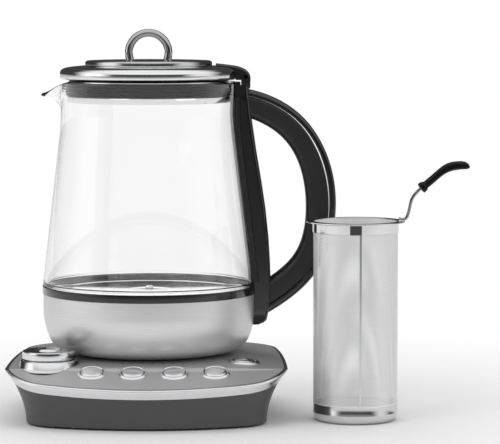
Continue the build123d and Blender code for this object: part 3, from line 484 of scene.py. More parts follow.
@dataclass(frozen=True)
class Moulded(Finish):
    """Injection-moulded plastic."""

    roughness: float = 0.4
    grain: float = 0.5
    depth: float = 0.01
    coat: float = 0.0
    specular: float = 0.5

    def fill(self, graph: Graph, shader: bpy.types.Node) -> None:
        """Mould grain in height and tone, handling marks in roughness.

        Args:
            graph: the material's graph.
            shader: its Principled BSDF.
        """
        grain = MouldGrain.use(graph, Grain=self.grain)
        marks = Handling.use(graph, Size=25.0)["Value"]
        graph.wire(shader, {
            "Base Color": self.tinted(graph, grain["Tone"], 0.86, 1.12),
            "Roughness": graph.spread(marks, 0.0, 1.0, self.roughness, self.roughness + 0.08),
            "Coat Weight": self.coat,
            "Coat Roughness": 0.06,
            "Specular IOR Level": self.specular,
            "Normal": self.bump(graph, grain["Height"], self.depth, 0.5),
        })


@dataclass(frozen=True)
class Rubber(Finish):
    """Soft rubber or silicone with a dusty bloom."""

    roughness: float = 0.6
    sheen: float = 0.15

    def fill(self, graph: Graph, shader: bpy.types.Node) -> None:
        """Bloom in tone and roughness over a fine grain.

        Args:
            graph: the material's graph.
            shader: its Principled BSDF.
        """
        grain = MouldGrain.use(graph, Grain=0.7)["Height"]
        bloom = Handling.use(graph, Size=12.0)["Value"]
        graph.wire(shader, {
            "Base Color": self.tinted(graph, bloom, 0.9, 1.25),
            "Roughness": graph.spread(bloom, 0.0, 1.0, self.roughness, self.roughness + 0.15),
            "Sheen Weight": self.sheen,
            "Normal": self.bump(graph, grain, 0.02, 0.5),
        })


@dataclass(frozen=True)
class ClearGlass(Finish):
    """Clear borosilicate glass that lets lamps through."""

    haze: float = 0.02
    bending: float = 1.47
    film: float = 0.91        # share of a lamp's light that passes

    def fill(self, graph: Graph, shader: bpy.types.Node) -> None:
        """Transmission with faint marks; lamp rays pass as through a tinted film.

        Args:
            graph: the material's graph.
            shader: its Principled BSDF.
        """
        marks = Handling.use(graph, Size=60.0)["Value"]
        graph.wire(shader, {
            "Base Color": self.tinted(graph, marks, 1.0, 0.985),
            "Roughness": graph.spread(marks, 0.0, 1.0, 0.0, self.haze),
            "Transmission Weight": 1.0,
            "IOR": self.bending,
        })
        film = graph.node("BsdfTransparent", {"Color": (self.film, self.film, self.film, 1.0)})
        graph.surface(graph.node("LightPath").outputs["Is Shadow Ray"], shader, film)


@dataclass(frozen=True)
class PunchedMetal(Finish):
    """Thin steel sheet rolled to a tube and punched with fine staggered holes."""

    centre: Point = (0.0, 0.0)
    radius: float = 30.6
    pitch: float = 1.15
    row: float = 1.0
    hole: float = 0.33
    low: float = 0.0
    high: float = 1000.0
    metallic: float = 0.55

    def fill(self, graph: Graph, shader: bpy.types.Node) -> None:
        """Holes cut by Alpha, with a pressed edge and brushed tone between them.

        Args:
            graph: the material's graph.
            shader: its Principled BSDF.
        """
        x, y = self.centre[0] * MM, self.centre[1] * MM
        count = round(2 * pi * self.radius / self.pitch)
        holes = PunchedHoles.use(
            graph, Centre_X=x, Centre_Y=y, Count=float(count), Pitch=self.pitch * MM, Row=self.row * MM,
            Hole=self.hole, Low=self.low * MM, High=self.high * MM)
        streaks = TurnedStreaks.use(graph, Centre_X=x, Centre_Y=y, Fineness=2.0)["Value"]
        graph.wire(shader, {
            "Base Color": self.tinted(graph, streaks, 0.94, 1.0),
            "Roughness": graph.spread(streaks, 0.0, 1.0, 0.32, 0.45),
            "Alpha": holes["Metal"],
            "Metallic": self.metallic,
            "Normal": self.bump(graph, holes["Height"], 0.08, 0.4),
        })


STEEL_BOWL = BrushedMetal("brushed_bowl", "brushed", (0.78, 0.78, 0.785), roughness=0.36, fineness=2.2,
                          metallic=0.8)
STEEL_DECK = BrushedMetal("satin_deck", "plate_steel", (0.45, 0.45, 0.455), roughness=0.42,
                          grain=Grain.STRAIGHT, fineness=2.5, shade=0.08, metallic=0.55)
STEEL_PLATE = BrushedMetal("turned_plate", "brushed", (0.62, 0.62, 0.63), roughness=0.1, fineness=1.4,
                           shade=0.06)
STEEL_PLAIN = BrushedMetal("drawn_steel", "screw_steel", (0.5, 0.5, 0.51), roughness=0.3)
CAST = BrushedMetal("cast_aluminium", "aluminium", (0.6, 0.6, 0.61), roughness=0.45, fineness=0.6)
CHROME = PolishedMetal("chrome_plate", "chrome", (0.78, 0.78, 0.79))
# Painted shade: the loop's chrome colour is set far below plain chrome so that it looks dark, like the dark
# room it mirrors.
LOOP_CHROME_PAINTED_SHADE = PolishedMetal("loop_chrome_painted_shade", "chrome", (0.45, 0.45, 0.455), roughness=0.06, marks=0.03,
                            gloss=0.6)
# Painted shade: the cap's chrome colour is set below plain chrome so that its top looks dark, like the dark
# room it mirrors.
CAP_CHROME_PAINTED_SHADE = BrushedMetal("spun_cap_painted_shade", "chrome", (0.62, 0.62, 0.625), roughness=0.14, fineness=1.6,
                           shade=0.05, depth=0.001, stretch=0.2)
SPUN_CHROME = BrushedMetal("spun_lid", "chrome", (0.84, 0.84, 0.85), roughness=0.1, fineness=1.6,
                           shade=0.05, depth=0.001, stretch=0.2)
BLACK_GLOSS = Moulded("black_gloss", "gloss_black", (0.006, 0.006, 0.0065), roughness=0.12, depth=0.002,
                      coat=0.5)
GRIP_BLACK = Moulded("grip_black", "black_plastic", (0.003, 0.003, 0.0032), roughness=0.2, depth=0.002,
                     specular=0.22)
BLACK_MATT = Moulded("black_matt", "black_plastic", (0.010, 0.010, 0.011), roughness=0.38, depth=0.02)
GREY_SHELL = Moulded("moulded_grey", "grey_shell", (0.062, 0.062, 0.064), roughness=0.42, depth=0.015)
SILICONE = Rubber("seal_silicone", "silicone", (0.008, 0.008, 0.0085), roughness=0.4, sheen=0.0)
FOOT_RUBBER = Rubber("foot_rubber", "rubber_grey", (0.03, 0.03, 0.03), roughness=0.7)
GLASS = ClearGlass("clear_glass", "glass", (0.985, 0.985, 0.985))
BOARD = Moulded("circuit_board", "board", (0.01, 0.09, 0.03), roughness=0.35, coat=0.4)
LENS = Moulded("lamp_lens", "light_lens", (0.03, 0.03, 0.035), roughness=0.1, coat=0.5)
MESH_STEEL = PunchedMetal("punched_steel", "brushed", (0.95, 0.95, 0.955), centre=(151.0, -46.0),
                          low=13.5, high=136.8)
STRAINER_STEEL = BrushedMetal("drawn_cup", "brushed", (0.70, 0.70, 0.71), roughness=0.16, fineness=2.0)
STAINED_STEEL = PolishedMetal("weld_stained", "brushed", (0.16, 0.16, 0.165), roughness=0.2)


# ---------------------------------------------------------------- curves and meshes
ON_AXIS = 1e-9            # radius under which a point lies on the axis
SHORT = 1e-6              # side under which a corner is left as it is
FLAT = radians(85)        # half of a corner's angle over which it is left as it is
SIDE_SHARE = 0.45         # most of a side that a rounded corner takes
MERGE = 1e-6              # metres under which points are one
SLIVER = 1e-7             # metres under which an edge is dropped


def steps(count: int) -> list[float]:
    """Even fractions from 0 to 1."""
    return [i / (count - 1) for i in range(count)]


def soften(corners: Outline, radius: float, parts: int = 5) -> list[Point]:
    """Round the corners of a closed outline.

    Args:
        corners: the outline's corners, in order.
        radius: corner radius, made smaller where a side is short.
        parts: points on each corner's arc.

    Returns:
        The outline's points.
    """
    rounded = []
    total = len(corners)
    for index, corner in enumerate(corners):
        before = Vector(corners[index - 1]) - Vector(corner)
        after = Vector(corners[(index + 1) % total]) - Vector(corner)
        if corner[0] <= ON_AXIS or min(before.length, after.length) < SHORT:
            rounded.append(tuple(corner))
            continue
        half = before.angle(after) / 2
        if half > FLAT:
            rounded.append(tuple(corner))
            continue
        reach = min(radius / tan(half), SIDE_SHARE * before.length, SIDE_SHARE * after.length)
        start = Vector(corner) + before.normalized() * reach
        end = Vector(corner) + after.normalized() * reach
        for part in steps(parts):
            first = start.lerp(Vector(corner), part)
            rounded.append(tuple(first.lerp(Vector(corner).lerp(end, part), part)))
    return rounded


class Curve:
    """Smooth plane curve through points, with a set direction at each end."""

    def __init__(self, points: Outline, start: Point | None = None, end: Point | None = None) -> None:
        """Solve the clamped cubic spline over the chord lengths.

        Args:
            points: what the curve passes through.
            start: direction at the first point, or None for a natural end.
            end: direction at the last point, or None for a natural end.
        """
        self.points = [Vector(p) for p in points]
        gaps = [(b - a).length for a, b in zip(self.points, self.points[1:])]
        self.marks = [0.0]
        for gap in gaps:
            self.marks.append(self.marks[-1] + gap)
        self.slopes = self._slopes(gaps, start, end)

    def _slopes(self, gaps: list[float], start: Point | None, end: Point | None) -> list[Vector]:
        """Slope at every point, from the spline's tridiagonal system.

        Args:
            gaps: lengths of the chords.
            start: direction at the first point, or None.
            end: direction at the last point, or None.

        Returns:
            The slopes, in order.
        """
        count = len(self.points)
        diagonal, right, upper = [1.0] * count, [Vector((0, 0))] * count, [0.0] * count
        chords = [(b - a) / gap for a, b, gap in zip(self.points, self.points[1:], gaps)]
        lower = [0.0] * count
        if start:
            right[0] = Vector(start).normalized()
        else:
            diagonal[0], upper[0], right[0] = 2.0, 1.0, 3 * chords[0]
        if end:
            right[-1] = Vector(end).normalized()
        else:
            diagonal[-1], lower[-1], right[-1] = 2.0, 1.0, 3 * chords[-1]
        for i in range(1, count - 1):
            lower[i], upper[i] = gaps[i], gaps[i - 1]
            diagonal[i] = 2 * (gaps[i] + gaps[i - 1])
            right[i] = 3 * (gaps[i] * chords[i - 1] + gaps[i - 1] * chords[i])
        for i in range(1, count):
            share = lower[i] / diagonal[i - 1]
            diagonal[i] -= share * upper[i - 1]
            right[i] = right[i] - share * right[i - 1]
        slopes = [right[-1] / diagonal[-1]]
        for i in range(count - 2, -1, -1):
            slopes.insert(0, (right[i] - upper[i] * slopes[0]) / diagonal[i])
        return slopes

    def at(self, fraction: float) -> Vector:
        """Point at a fraction of the length.

        Args:
            fraction: share of the length, held within 0 and 1.

        Returns:
            The point.
        """
        place = min(max(fraction, 0.0), 1.0) * self.marks[-1]
        i = max(n for n, mark in enumerate(self.marks[:-1]) if mark <= place or n == 0)
        gap = self.marks[i + 1] - self.marks[i]
        u = (place - self.marks[i]) / gap
        return (self.points[i] * (1 + 2 * u) * (1 - u) ** 2 + self.slopes[i] * gap * u * (1 - u) ** 2
                + self.points[i + 1] * u * u * (3 - 2 * u) + self.slopes[i + 1] * gap * u * u * (u - 1))

    def along(self, count: int) -> list[tuple[float, float]]:
        """Points at even fractions."""
        return [tuple(self.at(f)) for f in steps(count)]

    def beside(self, fraction: float, distance: float) -> Vector:
        """Point at a distance to the right of the curve.

        Args:
            fraction: share of the length.
            distance: how far to the right.

        Returns:
            The point.
        """
        small = 1e-4
        run = self.at(fraction + small) - self.at(fraction - small)
        run.normalize()
        return self.at(fraction) + Vector((run.y, -run.x)) * distance


def pulled_curve(start: Point, start_pull: Point, end_pull: Point, end: Point, count: int) -> list[Point]:
    """Points on the cubic curve from start to end that leaves and arrives along its pulls.

    Args:
        start: first point.
        start_pull: what the curve leaves towards.
        end_pull: what it arrives from.
        end: last point.
        count: number of points.

    Returns:
        The points.
    """
    corners = (start, start_pull, end_pull, end)
    made = []
    for f in steps(count):
        shares = ((1 - f) ** 3, 3 * f * (1 - f) ** 2, 3 * f * f * (1 - f), f ** 3)
        made.append(tuple(sum(share * corner[axis] for share, corner in zip(shares, corners))
                          for axis in (0, 1)))
    return made


def squared(turn: float, fullness: float) -> Point:
    """Cosine and sine of an angle, swollen and clipped so that a circle becomes a soft square."""
    return tuple(max(-1, min(1, fullness * part)) for part in (cos(turn), sin(turn)))


@dataclass
class Piece:
    """One visible piece of the object, made from points in millimetres."""

    name: str
    finish: Finish
    body: str
    stands_for: tuple[str, ...] = ()
    sharp: float = 35.0

    def make(self, points: Sequence[Sequence[float]], faces: Sequence[Sequence[int]],
             place: Matrix | None = None) -> bpy.types.Object:
        """Make the object, finish it and let it ride on its body.

        Args:
            points: vertices in millimetres.
            faces: vertex numbers of each face.
            place: where the points go, with a translation in millimetres, or None.

        Returns:
            The object.
        """
        mesh = bpy.data.meshes.new(self.name)
        placed = [place @ Vector(p) for p in points] if place else [Vector(p) for p in points]
        mesh.from_pydata([p * MM for p in placed], [], faces)
        made = bpy.data.objects.new(self.name, mesh)
        bpy.context.scene.collection.objects.link(made)
        self._clean(mesh)
        mesh.materials.append(self.finish.material())
        mesh.shade_smooth()
        mesh.set_sharp_from_angle(angle=radians(self.sharp))
        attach(made, self.body)
        if self.stands_for:
            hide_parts(*self.stands_for)
        log.info("built %s with %d faces", self.name, len(mesh.polygons))
        return made

    @staticmethod
    def _clean(mesh: bpy.types.Mesh) -> None:
        """Merge doubled points and turn the faces outwards.

        Args:
            mesh: the mesh to mend.
        """
        work = bmesh.new()
        work.from_mesh(mesh)
        bmesh.ops.remove_doubles(work, verts=work.verts, dist=MERGE)
        bmesh.ops.dissolve_degenerate(work, edges=work.edges, dist=SLIVER)
        bmesh.ops.recalc_face_normals(work, faces=work.faces)
        work.to_mesh(mesh)
        work.free()

    def loft(self, loops: Sequence[Sequence[Sequence[float]]], caps: bool = True, ring: bool = False,
             place: Matrix | None = None) -> bpy.types.Object:
        """Skin closed loops of equal point counts.

        Args:
            loops: the loops, in order.
            caps: close the first and last loop.
            ring: join the last loop to the first.
            place: where the points go, or None.

        Returns:
            The object.
        """
        count = len(loops[0])
        points = [p for loop in loops for p in loop]
        faces = []
        rows = len(loops) if ring else len(loops) - 1
        for row in range(rows):
            here, there = row * count, (row + 1) % len(loops) * count
            for i in range(count):
                after = (i + 1) % count
                faces.append((here + i, here + after, there + after, there + i))
        if caps and not ring:
            faces.append(tuple(range(count))[::-1])
            faces.append(tuple(range(len(points) - count, len(points))))
        return self.make(points, faces, place)

    def lathe(self, outline: Outline, segments: int = 144,
              place: Matrix | None = None) -> bpy.types.Object:
        """Turn an outline of (radius, height) about the upright axis of its place.

        Args:
            outline: closed outline of (radius, height).
            segments: steps of the full turn.
            place: where the axis stands, or None.

        Returns:
            The object.
        """
        loops = []
        for i in range(segments):
            angle = 2 * pi * i / segments
            loops.append([(r * cos(angle), r * sin(angle), z) for r, z in outline])
        return self.loft(loops, ring=True, place=place)

    def slab(self, outline: Outline, half: float, edge: float, middle_y: float = 0.0,
             parts: int = 4) -> bpy.types.Object:
        """Plate with a side-view outline of (x, z) and rounded edges, upright across Y.

        Args:
            outline: closed outline of (x, z).
            half: half of the thickness.
            edge: radius of the edges.
            middle_y: where its middle lies.
            parts: points on each edge's arc.

        Returns:
            The object.
        """
        loops = []
        levels = [(half - edge + edge * sin(QUARTER * f), edge * (1 - cos(QUARTER * f))) for f in steps(parts)]
        for side in (1, -1):
            for across, inset in (levels[::-1] if side == 1 else levels):
                loops.append([(x, middle_y - side * across, z) for x, z in inset_outline(outline, inset)])
        return self.loft(loops)

    def tube(self, path: Sequence[Sequence[float]], radius: float, sides: int = 20,
             closed: bool = False) -> bpy.types.Object:
        """Round bar along a path of points.

        Args:
            path: the bar's middle line.
            radius: radius of the bar.
            sides: points round it.
            closed: join the end to the start.

        Returns:
            The object.
        """
        line = [Vector(p) for p in path]
        loops = []
        across = Vector((0, 1, 0))
        for i, here in enumerate(line):
            run = (line[min(i + 1, len(line) - 1)] - line[max(i - 1, 0)]).normalized()
            side = across - run * across.dot(run)
            side.normalize()
            up = run.cross(side)
            loops.append([here + radius * (side * cos(2 * pi * k / sides) + up * sin(2 * pi * k / sides))
                          for k in range(sides)])
        return self.loft(loops, caps=not closed, ring=closed)


def inset_outline(outline: Outline, inset: float) -> list[Point]:
    """Closed outline moved inwards point by point along its corner normals.

    Args:
        outline: the closed outline.
        inset: how far inwards.

    Returns:
        The moved points.
    """
    if inset == 0:
        return [tuple(p) for p in outline]
    area = sum(a[0] * b[1] - b[0] * a[1] for a, b in zip(outline, [*outline[1:], outline[0]]))
    way = 1 if area > 0 else -1
    moved = []
    for i, point in enumerate(outline):
        run = Vector(outline[(i + 1) % len(outline)]) - Vector(outline[i - 1])
        run.normalize()
        moved.append((point[0] - way * run.y * inset, point[1] + way * run.x * inset))
    return moved


def between(value: float, marks: Outline) -> float:
    """Value at a place of a table of (place, value), straight between its rows.

    Args:
        value: the place.
        marks: rows of (place, value), in order.

    Returns:
        The value, held at the first and last row.
    """
    if value <= marks[0][0]:
        return marks[0][1]
    for (a, low), (b, high) in zip(marks, marks[1:]):
        if value <= b:
            return low + (high - low) * (value - a) / (b - a)
    return marks[-1][1]


def dress(finishes: dict[Finish, Iterable[str]]) -> None:
    """Give CAD nodes their finishes.

    Args:
        finishes: node names under each finish.
    """
    for finish, names in finishes.items():
        for name in names:
            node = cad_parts[name]
            node.data.materials.clear()
            node.data.materials.append(finish.material())
            log.info("dressed %s in %s", name, finish.name)


# ---------------------------------------------------------------- kettle
@dataclass(frozen=True)
class KettleSizes:
    """Sizes of the glass kettle, in millimetres from the table and its upright axis."""

    bowl_foot: float = 45.0
    bowl_foot_radius: float = 57.0
    bowl_start: Point = (1.0, 0.12)
    bowl_turn: Outline = ((70.5, 50.2), (75.4, 59.5))
    bowl_upright: float = 12.0
    bowl_radius: float = 78.4
    bowl_top: float = 88.0
    bowl_lip: float = 6.0
    sheet: float = 1.0
    bowl_opening: float = 53.0
    collar_radius: float = 79.0
    collar_bore: float = 77.1
    collar_top: float = 94.0
    collar_round: float = 0.5
    glass_foot: float = 90.4
    glass_foot_radius: float = 78.8
    glass_play: float = 0.05
    glass_over_collar: float = 0.5
    cone_top: float = 213.0
    neck_radius: float = 64.8
    neck_low: float = 204.2
    neck_high: float = 221.8
    neck_rounding: float = 150.0
    glass_wall: float = 2.5
    rim_round: float = 0.6
    lip_share: float = 0.7
    spout_start: float = 220.5
    spout_reach: float = 14.7
    spout_width: float = 9.8
    spout_sharpness: float = 2.3
    spout_rise: float = 3.9
    spout_edge: Outline = ((58.0, 244.0), (60.5, 243.6), (64.0, 242.4), (68.0, 240.3), (72.0, 237.5),
                           (75.5, 235.3), (79.5, 233.6))
    plate: Outline = ((3.1, 88.8), (3.1, 90.6), (16, 90.6), (18, 90.0), (57, 90.0), (59, 89.4), (69.5, 89.4),
                      (71, 90.0), (73.6, 90.0), (73.6, 89.05), (77.0, 89.05), (77.0, 88.0), (61.5, 88.0),
                      (59.5, 88.8))


class Kettle:
    """Steel bowl, glass body with a pulled spout, and the D handle with its strap."""

    body = "kettle"

    def __init__(self, sizes: KettleSizes | None = None) -> None:
        """Keep the sizes."""
        self.sizes = sizes or KettleSizes()

    def build(self) -> None:
        """Build every piece of the kettle."""
        self.bowl()
        self.collar()
        self.glass()
        self.heating_plate()
        self.handle()
        dress({
            CAST: ["heating_element"],
            SILICONE: ["glass_seal"],
            BLACK_MATT: ["kettle_bottom_cover", "kettle_connector"],
            STEEL_PLAIN: ["handle_screws", "hinge_pin"],
            CHROME: ["temperature_sensor"],
        })

    def bowl(self) -> None:
        """Brushed bowl, drawn from sheet, with its rolled foot."""
        s = self.sizes
        upright = (s.bowl_radius, s.bowl_top - s.bowl_upright)
        outer = Curve([(s.bowl_foot_radius, s.bowl_foot), *s.bowl_turn, upright], s.bowl_start, (0, 1))
        outside = outer.along(28) + [(s.bowl_radius, s.bowl_top)]
        inside = [tuple(outer.beside(1 - f, -s.sheet)) for f in steps(28)]
        rim = [(s.bowl_radius - s.sheet, s.bowl_top), (s.bowl_radius - s.sheet, s.bowl_top - s.bowl_lip)]
        floor = [(s.bowl_opening, s.bowl_foot + s.sheet), (s.bowl_opening, s.bowl_foot)]
        outline = outside + rim + inside + floor
        Piece("kettle_bowl", STEEL_BOWL, self.body, ("steel_bowl",)).lathe(outline, 192)

    def collar(self) -> None:
        """Gloss black ring over the joint of glass and steel."""
        s = self.sizes
        outline = soften([(s.collar_bore, s.bowl_top), (s.collar_radius, s.bowl_top),
                          (s.collar_radius, s.collar_top), (s.collar_bore, s.collar_top)], s.collar_round)
        Piece("kettle_collar", BLACK_GLOSS, self.body, ("collar_ring",)).lathe(outline, 192)

    def glass_radius(self, height: float) -> float:
        """Outer radius of the glass away from the spout.

        Args:
            height: level over the table.

        Returns:
            The radius.
        """
        s = self.sizes
        slope = (s.glass_foot_radius - s.neck_radius) / (s.cone_top - s.collar_top)
        if height >= s.neck_high:
            return s.neck_radius
        if height <= s.neck_low:
            return s.neck_radius + slope * (s.cone_top - height)
        return s.neck_radius + (s.neck_high - height) ** 2 / (2 * s.neck_rounding)

    def spout_swell(self, angle: float) -> float:
        """How far the spout is pulled out at an angle from its middle.

        Args:
            angle: angle from the spout's middle, from 0 to a full turn.

        Returns:
            The swell.
        """
        s = self.sizes
        turn = degrees(min(angle, 2 * pi - angle))
        return s.spout_reach * exp(-((turn / s.spout_width) ** s.spout_sharpness))

    def glass(self) -> None:
        """Glass wall with the spout pulled out of its neck and its rim fire-polished."""
        s = self.sizes
        columns, rows, crowding = 240, 46, 0.55
        low, bore = s.collar_top + s.glass_over_collar, s.collar_bore - s.glass_play
        foot = [(bore, s.glass_foot), (bore, s.collar_top + 0.1), (s.glass_foot_radius, low)]
        angles = [2 * pi * i / columns for i in range(columns)]
        loops = [[(-radius * cos(a), radius * sin(a), height) for a in angles] for radius, height in foot]
        swell = [self.spout_swell(angle) for angle in angles]
        for row in range(1, rows + 1):
            f = row / rows
            share = f * (1 + crowding - crowding * f)
            loop = []
            for angle, reach in zip(angles, swell):
                top = between((s.neck_radius + reach) * cos(angle), s.spout_edge)
                height = low + (top - low) * share
                lift = max(height - s.spout_start, 0) / (top - s.spout_start)
                radius = self.glass_radius(height) + reach * lift ** s.spout_rise
                loop.append((-radius * cos(angle), radius * sin(angle), height))
            loops.append(loop)
        made = Piece("glass_wall", GLASS, self.body, ("glass_body",), sharp=180).loft(loops, caps=False)
        thicken(made, s.glass_wall, s.rim_round, s.spout_start, s.lip_share)

    def heating_plate(self) -> None:
        """Turned plate under the water with its stepped rings."""
        outline = soften(self.sizes.plate, 0.5, 3)
        Piece("kettle_plate", STEEL_PLATE, self.body, ("heating_plate",)).lathe(outline, 144)

    def handle(self) -> None:
        """Strap, backing, grip and outer trim."""
        HandleSet(self).build()


def round_edges(made: bpy.types.Object, edge: float, angle: float = 40.0) -> None:
    """Round an object's sharp edges by a radius in millimetres.

    Args:
        made: the object.
        edge: the radius.
        angle: least angle of a sharp edge, in degrees.
    """
    rounding = made.modifiers.new("edge", "BEVEL")
    rounding.width = edge * MM
    rounding.segments = 3
    rounding.limit_method = "ANGLE"
    rounding.angle_limit = radians(angle)
    rounding.harden_normals = False


def thicken(made: bpy.types.Object, wall: float, edge: float, thin_above: float, lip: float) -> None:
    """Give a skin its wall, inwards, thinner towards its lip, and round its edges.

    Args:
        made: the skin.
        wall: thickness in millimetres.
        edge: rounding of the edges in millimetres.
        thin_above: height in millimetres from which the wall thins.
        lip: thickness left at the top, as a share.
    """
    heights = [v.co.z / MM for v in made.data.vertices]
    group = made.vertex_groups.new(name="wall")
    for index, height in enumerate(heights):
        share = min(max((height - thin_above) / (max(heights) - thin_above), 0.0), 1.0)
        group.add([index], 1 - (1 - lip) * share, "REPLACE")
    skin = made.modifiers.new("wall", "SOLIDIFY")
    skin.thickness = wall * MM
    skin.offset = -1.0
    skin.use_even_offset = True
    skin.vertex_group = "wall"
    round_edges(made, edge, 60.0)


@dataclass(frozen=True)
class HandleSet:
    """D handle: a strap along the glass, a matt grip, and a gloss strip on its outside."""

    kettle: Kettle
    clear: float = 0.05
    strap_half: float = 13.0
    strap_round: float = 3.0
    strap_least: float = 3.0
    head_top: float = 243.8
    head_reach: float = 67.6
    head_edge: float = 0.4
    strap_top: float = 241.2
    strap_low: float = 64.7
    strap_free: float = 72.0
    tail_length: float = 9.0
    tail_share: float = 0.45
    strap_line: Outline = ((64.7, 81.5), (65.5, 84.6), (68.5, 87.0), (76.0, 88.6), (90.0, 89.7), (100.0, 89.7),
                           (112.0, 89.4), (129.0, 88.4), (150.0, 86.2), (172.0, 82.9), (194.0, 79.2),
                           (217.0, 75.9), (230.0, 74.2), (241.2, 73.2))
    bowl_line: Outline = ((64.0, 77.0), (68.0, 77.7), (78.0, 78.5), (88.0, 79.05), (94.0, 79.05))
    backing_low: float = 97.0
    backing_top: float = 233.0
    backing_half: float = 15.0
    backing_room: float = 3.9
    ear: Outline = ((68.1, 239.0), (74.9, 239.0), (74.9, 246.5), (73.9, 250.4), (71.5, 251.4), (69.1, 250.4),
                    (68.1, 246.5))
    ear_round: float = 1.6
    ear_half: float = 1.9
    ear_middle: float = 9.7
    grip_half: float = 11.5
    grip_rounds: Point = (5.0, 1.2)
    trim_depth: float = 5.4
    trim_inset: float = 0.5
    trim_rounds: Point = (0.6, 2.6)
    groove: float = 0.7
    outer_line: Outline = ((66.8, 239.5), (111.5, 220.0), (137.8, 160.0), (120.9, 100.5), (81.4, 70.0))
    inner_line: Outline = ((66.8, 219.7), (98.5, 203.0), (115.9, 153.0), (106.6, 115.0), (81.4, 94.0))

    def build(self) -> None:
        """Build the handle's pieces."""
        self.strap()
        self.ears()
        self.backing()
        self.grip()

    def wall_at(self, height: float) -> float:
        """Radius of the kettle behind the strap.

        Args:
            height: level over the table.

        Returns:
            The radius.
        """
        if height >= self.kettle.sizes.collar_top:
            return self.kettle.glass_radius(height)
        return between(height, self.bowl_line)

    def column(self, height: float, inner_gap: float, outer: float, half: float,
               corner: float) -> list[Point3]:
        """Closed section of a bar that hugs the kettle's wall.

        Args:
            height: level over the table.
            inner_gap: room between bar and wall.
            outer: how far out the bar reaches.
            half: half of its width.
            corner: radius of its outer corners.

        Returns:
            The section's points.
        """
        radius = self.wall_at(height) + inner_gap
        outline = []
        for f in steps(9):
            y = -half + 2 * half * f
            outline.append((sqrt(radius * radius - y * y), y, height))
        turns = [QUARTER * f for f in steps(7)]
        outline += [(outer - corner + corner * sin(t), half - corner + corner * cos(t), height) for t in turns]
        outline += [(outer - corner + corner * cos(t), -half + corner - corner * sin(t), height) for t in turns]
        return outline

    def strap(self) -> None:
        """Gloss strap that follows the glass and ends in a rounded tail."""
        loops = []
        for f in steps(90):
            height = self.strap_low + (self.strap_top - self.strap_low) * f
            edge, wall = between(height, self.strap_line), self.wall_at(height)
            backed = self.backing_low <= height <= self.backing_top
            gap = self.backing_room if backed else self.clear
            gap = min(gap, edge - wall - self.strap_least) if height > self.strap_free else self.clear
            tail = 1 - max(0.0, 1 - (height - self.strap_low) / self.tail_length) ** 2
            half = self.strap_half * (1 - self.tail_share + self.tail_share * tail)
            corner = min(self.strap_round, SIDE_SHARE * (edge - wall - gap))
            loops.append(self.column(height, gap, edge, half, corner))
        for height, inset in ((self.strap_top + 0.1, 0.0), (self.head_top - self.head_edge, 0.0),
                              (self.head_top, self.head_edge)):
            loops.append(self.column(height, self.clear + inset, self.head_reach - inset,
                                     self.strap_half - inset, 1.0))
        Piece("handle_spine", BLACK_GLOSS, "kettle", ("handle_strap",)).loft(loops)

    def ears(self) -> None:
        """Two ears of the strap that carry the lid's pin."""
        outline = soften(self.ear, self.ear_round, 4)
        for side, way in (("left", -1), ("right", 1)):
            Piece(f"hinge_ear_{side}", BLACK_GLOSS, "kettle").slab(
                outline, self.ear_half, 0.5, middle_y=way * self.ear_middle)

    def backing(self) -> None:
        """Silicone strip between strap and glass."""
        loops = []
        half = self.backing_half
        for f in steps(40):
            height = self.backing_low + (self.backing_top - 0.1 - self.backing_low) * f
            section = []
            for side, stand in ((1, 0.06), (-1, self.backing_room - 0.02)):
                reach = self.wall_at(height) + stand
                for g in steps(11):
                    y = side * (2 * half * g - half)
                    section.append((sqrt(reach ** 2 - y * y), y, height))
            loops.append(section)
        Piece("handle_backing", SILICONE, "kettle", ("strap_backing",)).loft(loops)

    def grip(self) -> None:
        """Matt grip with soft edges, and the gloss strip outside it, parted by a groove."""
        outer = Curve(self.outer_line, (1, -0.12), (-1, -0.55))
        inner = Curve(self.inner_line, (1, -0.25), (-1, -0.65))
        grips, trims = [], []
        for f in steps(110):
            seam, lip = (outer.beside(f, depth) for depth in (self.trim_depth, self.trim_depth - self.groove))
            grips.append(self.section(inner.at(f), seam, self.grip_half, *self.grip_rounds))
            trims.append(self.section(lip, outer.at(f), self.grip_half - self.trim_inset, *self.trim_rounds))
        Piece("handle_grip_body", BLACK_MATT, "kettle", ("handle_grip",)).loft(grips)
        Piece("handle_outer_strip", BLACK_GLOSS, "kettle", ("handle_trim",)).loft(trims)

    @staticmethod
    def section(near: Vector, far: Vector, half: float, near_round: float,
                far_round: float) -> list[Point3]:
        """Rounded rectangle between two points of the side view.

        Args:
            near: point on its inner side.
            far: point on its outer side.
            half: half of its width.
            near_round: radius of the inner corners.
            far_round: radius of the outer corners.

        Returns:
            The section's points.
        """
        run = Vector(far) - Vector(near)
        width = run.length
        run.normalize()
        corners = ((0, -half, near_round, pi), (width, -half, far_round, 1.5 * pi),
                   (width, half, far_round, 0.0), (0, half, near_round, 0.5 * pi))
        rounded = []
        for along, across, radius, start in corners:
            inward = radius if along == 0 else -radius
            side = radius if across < 0 else -radius
            for f in steps(6):
                turn = start + pi / 2 * f
                rounded.append((along + inward + radius * cos(turn), across + side + radius * sin(turn)))
        return [(near[0] + run.x * a, y, near[1] + run.y * a) for a, y in rounded]


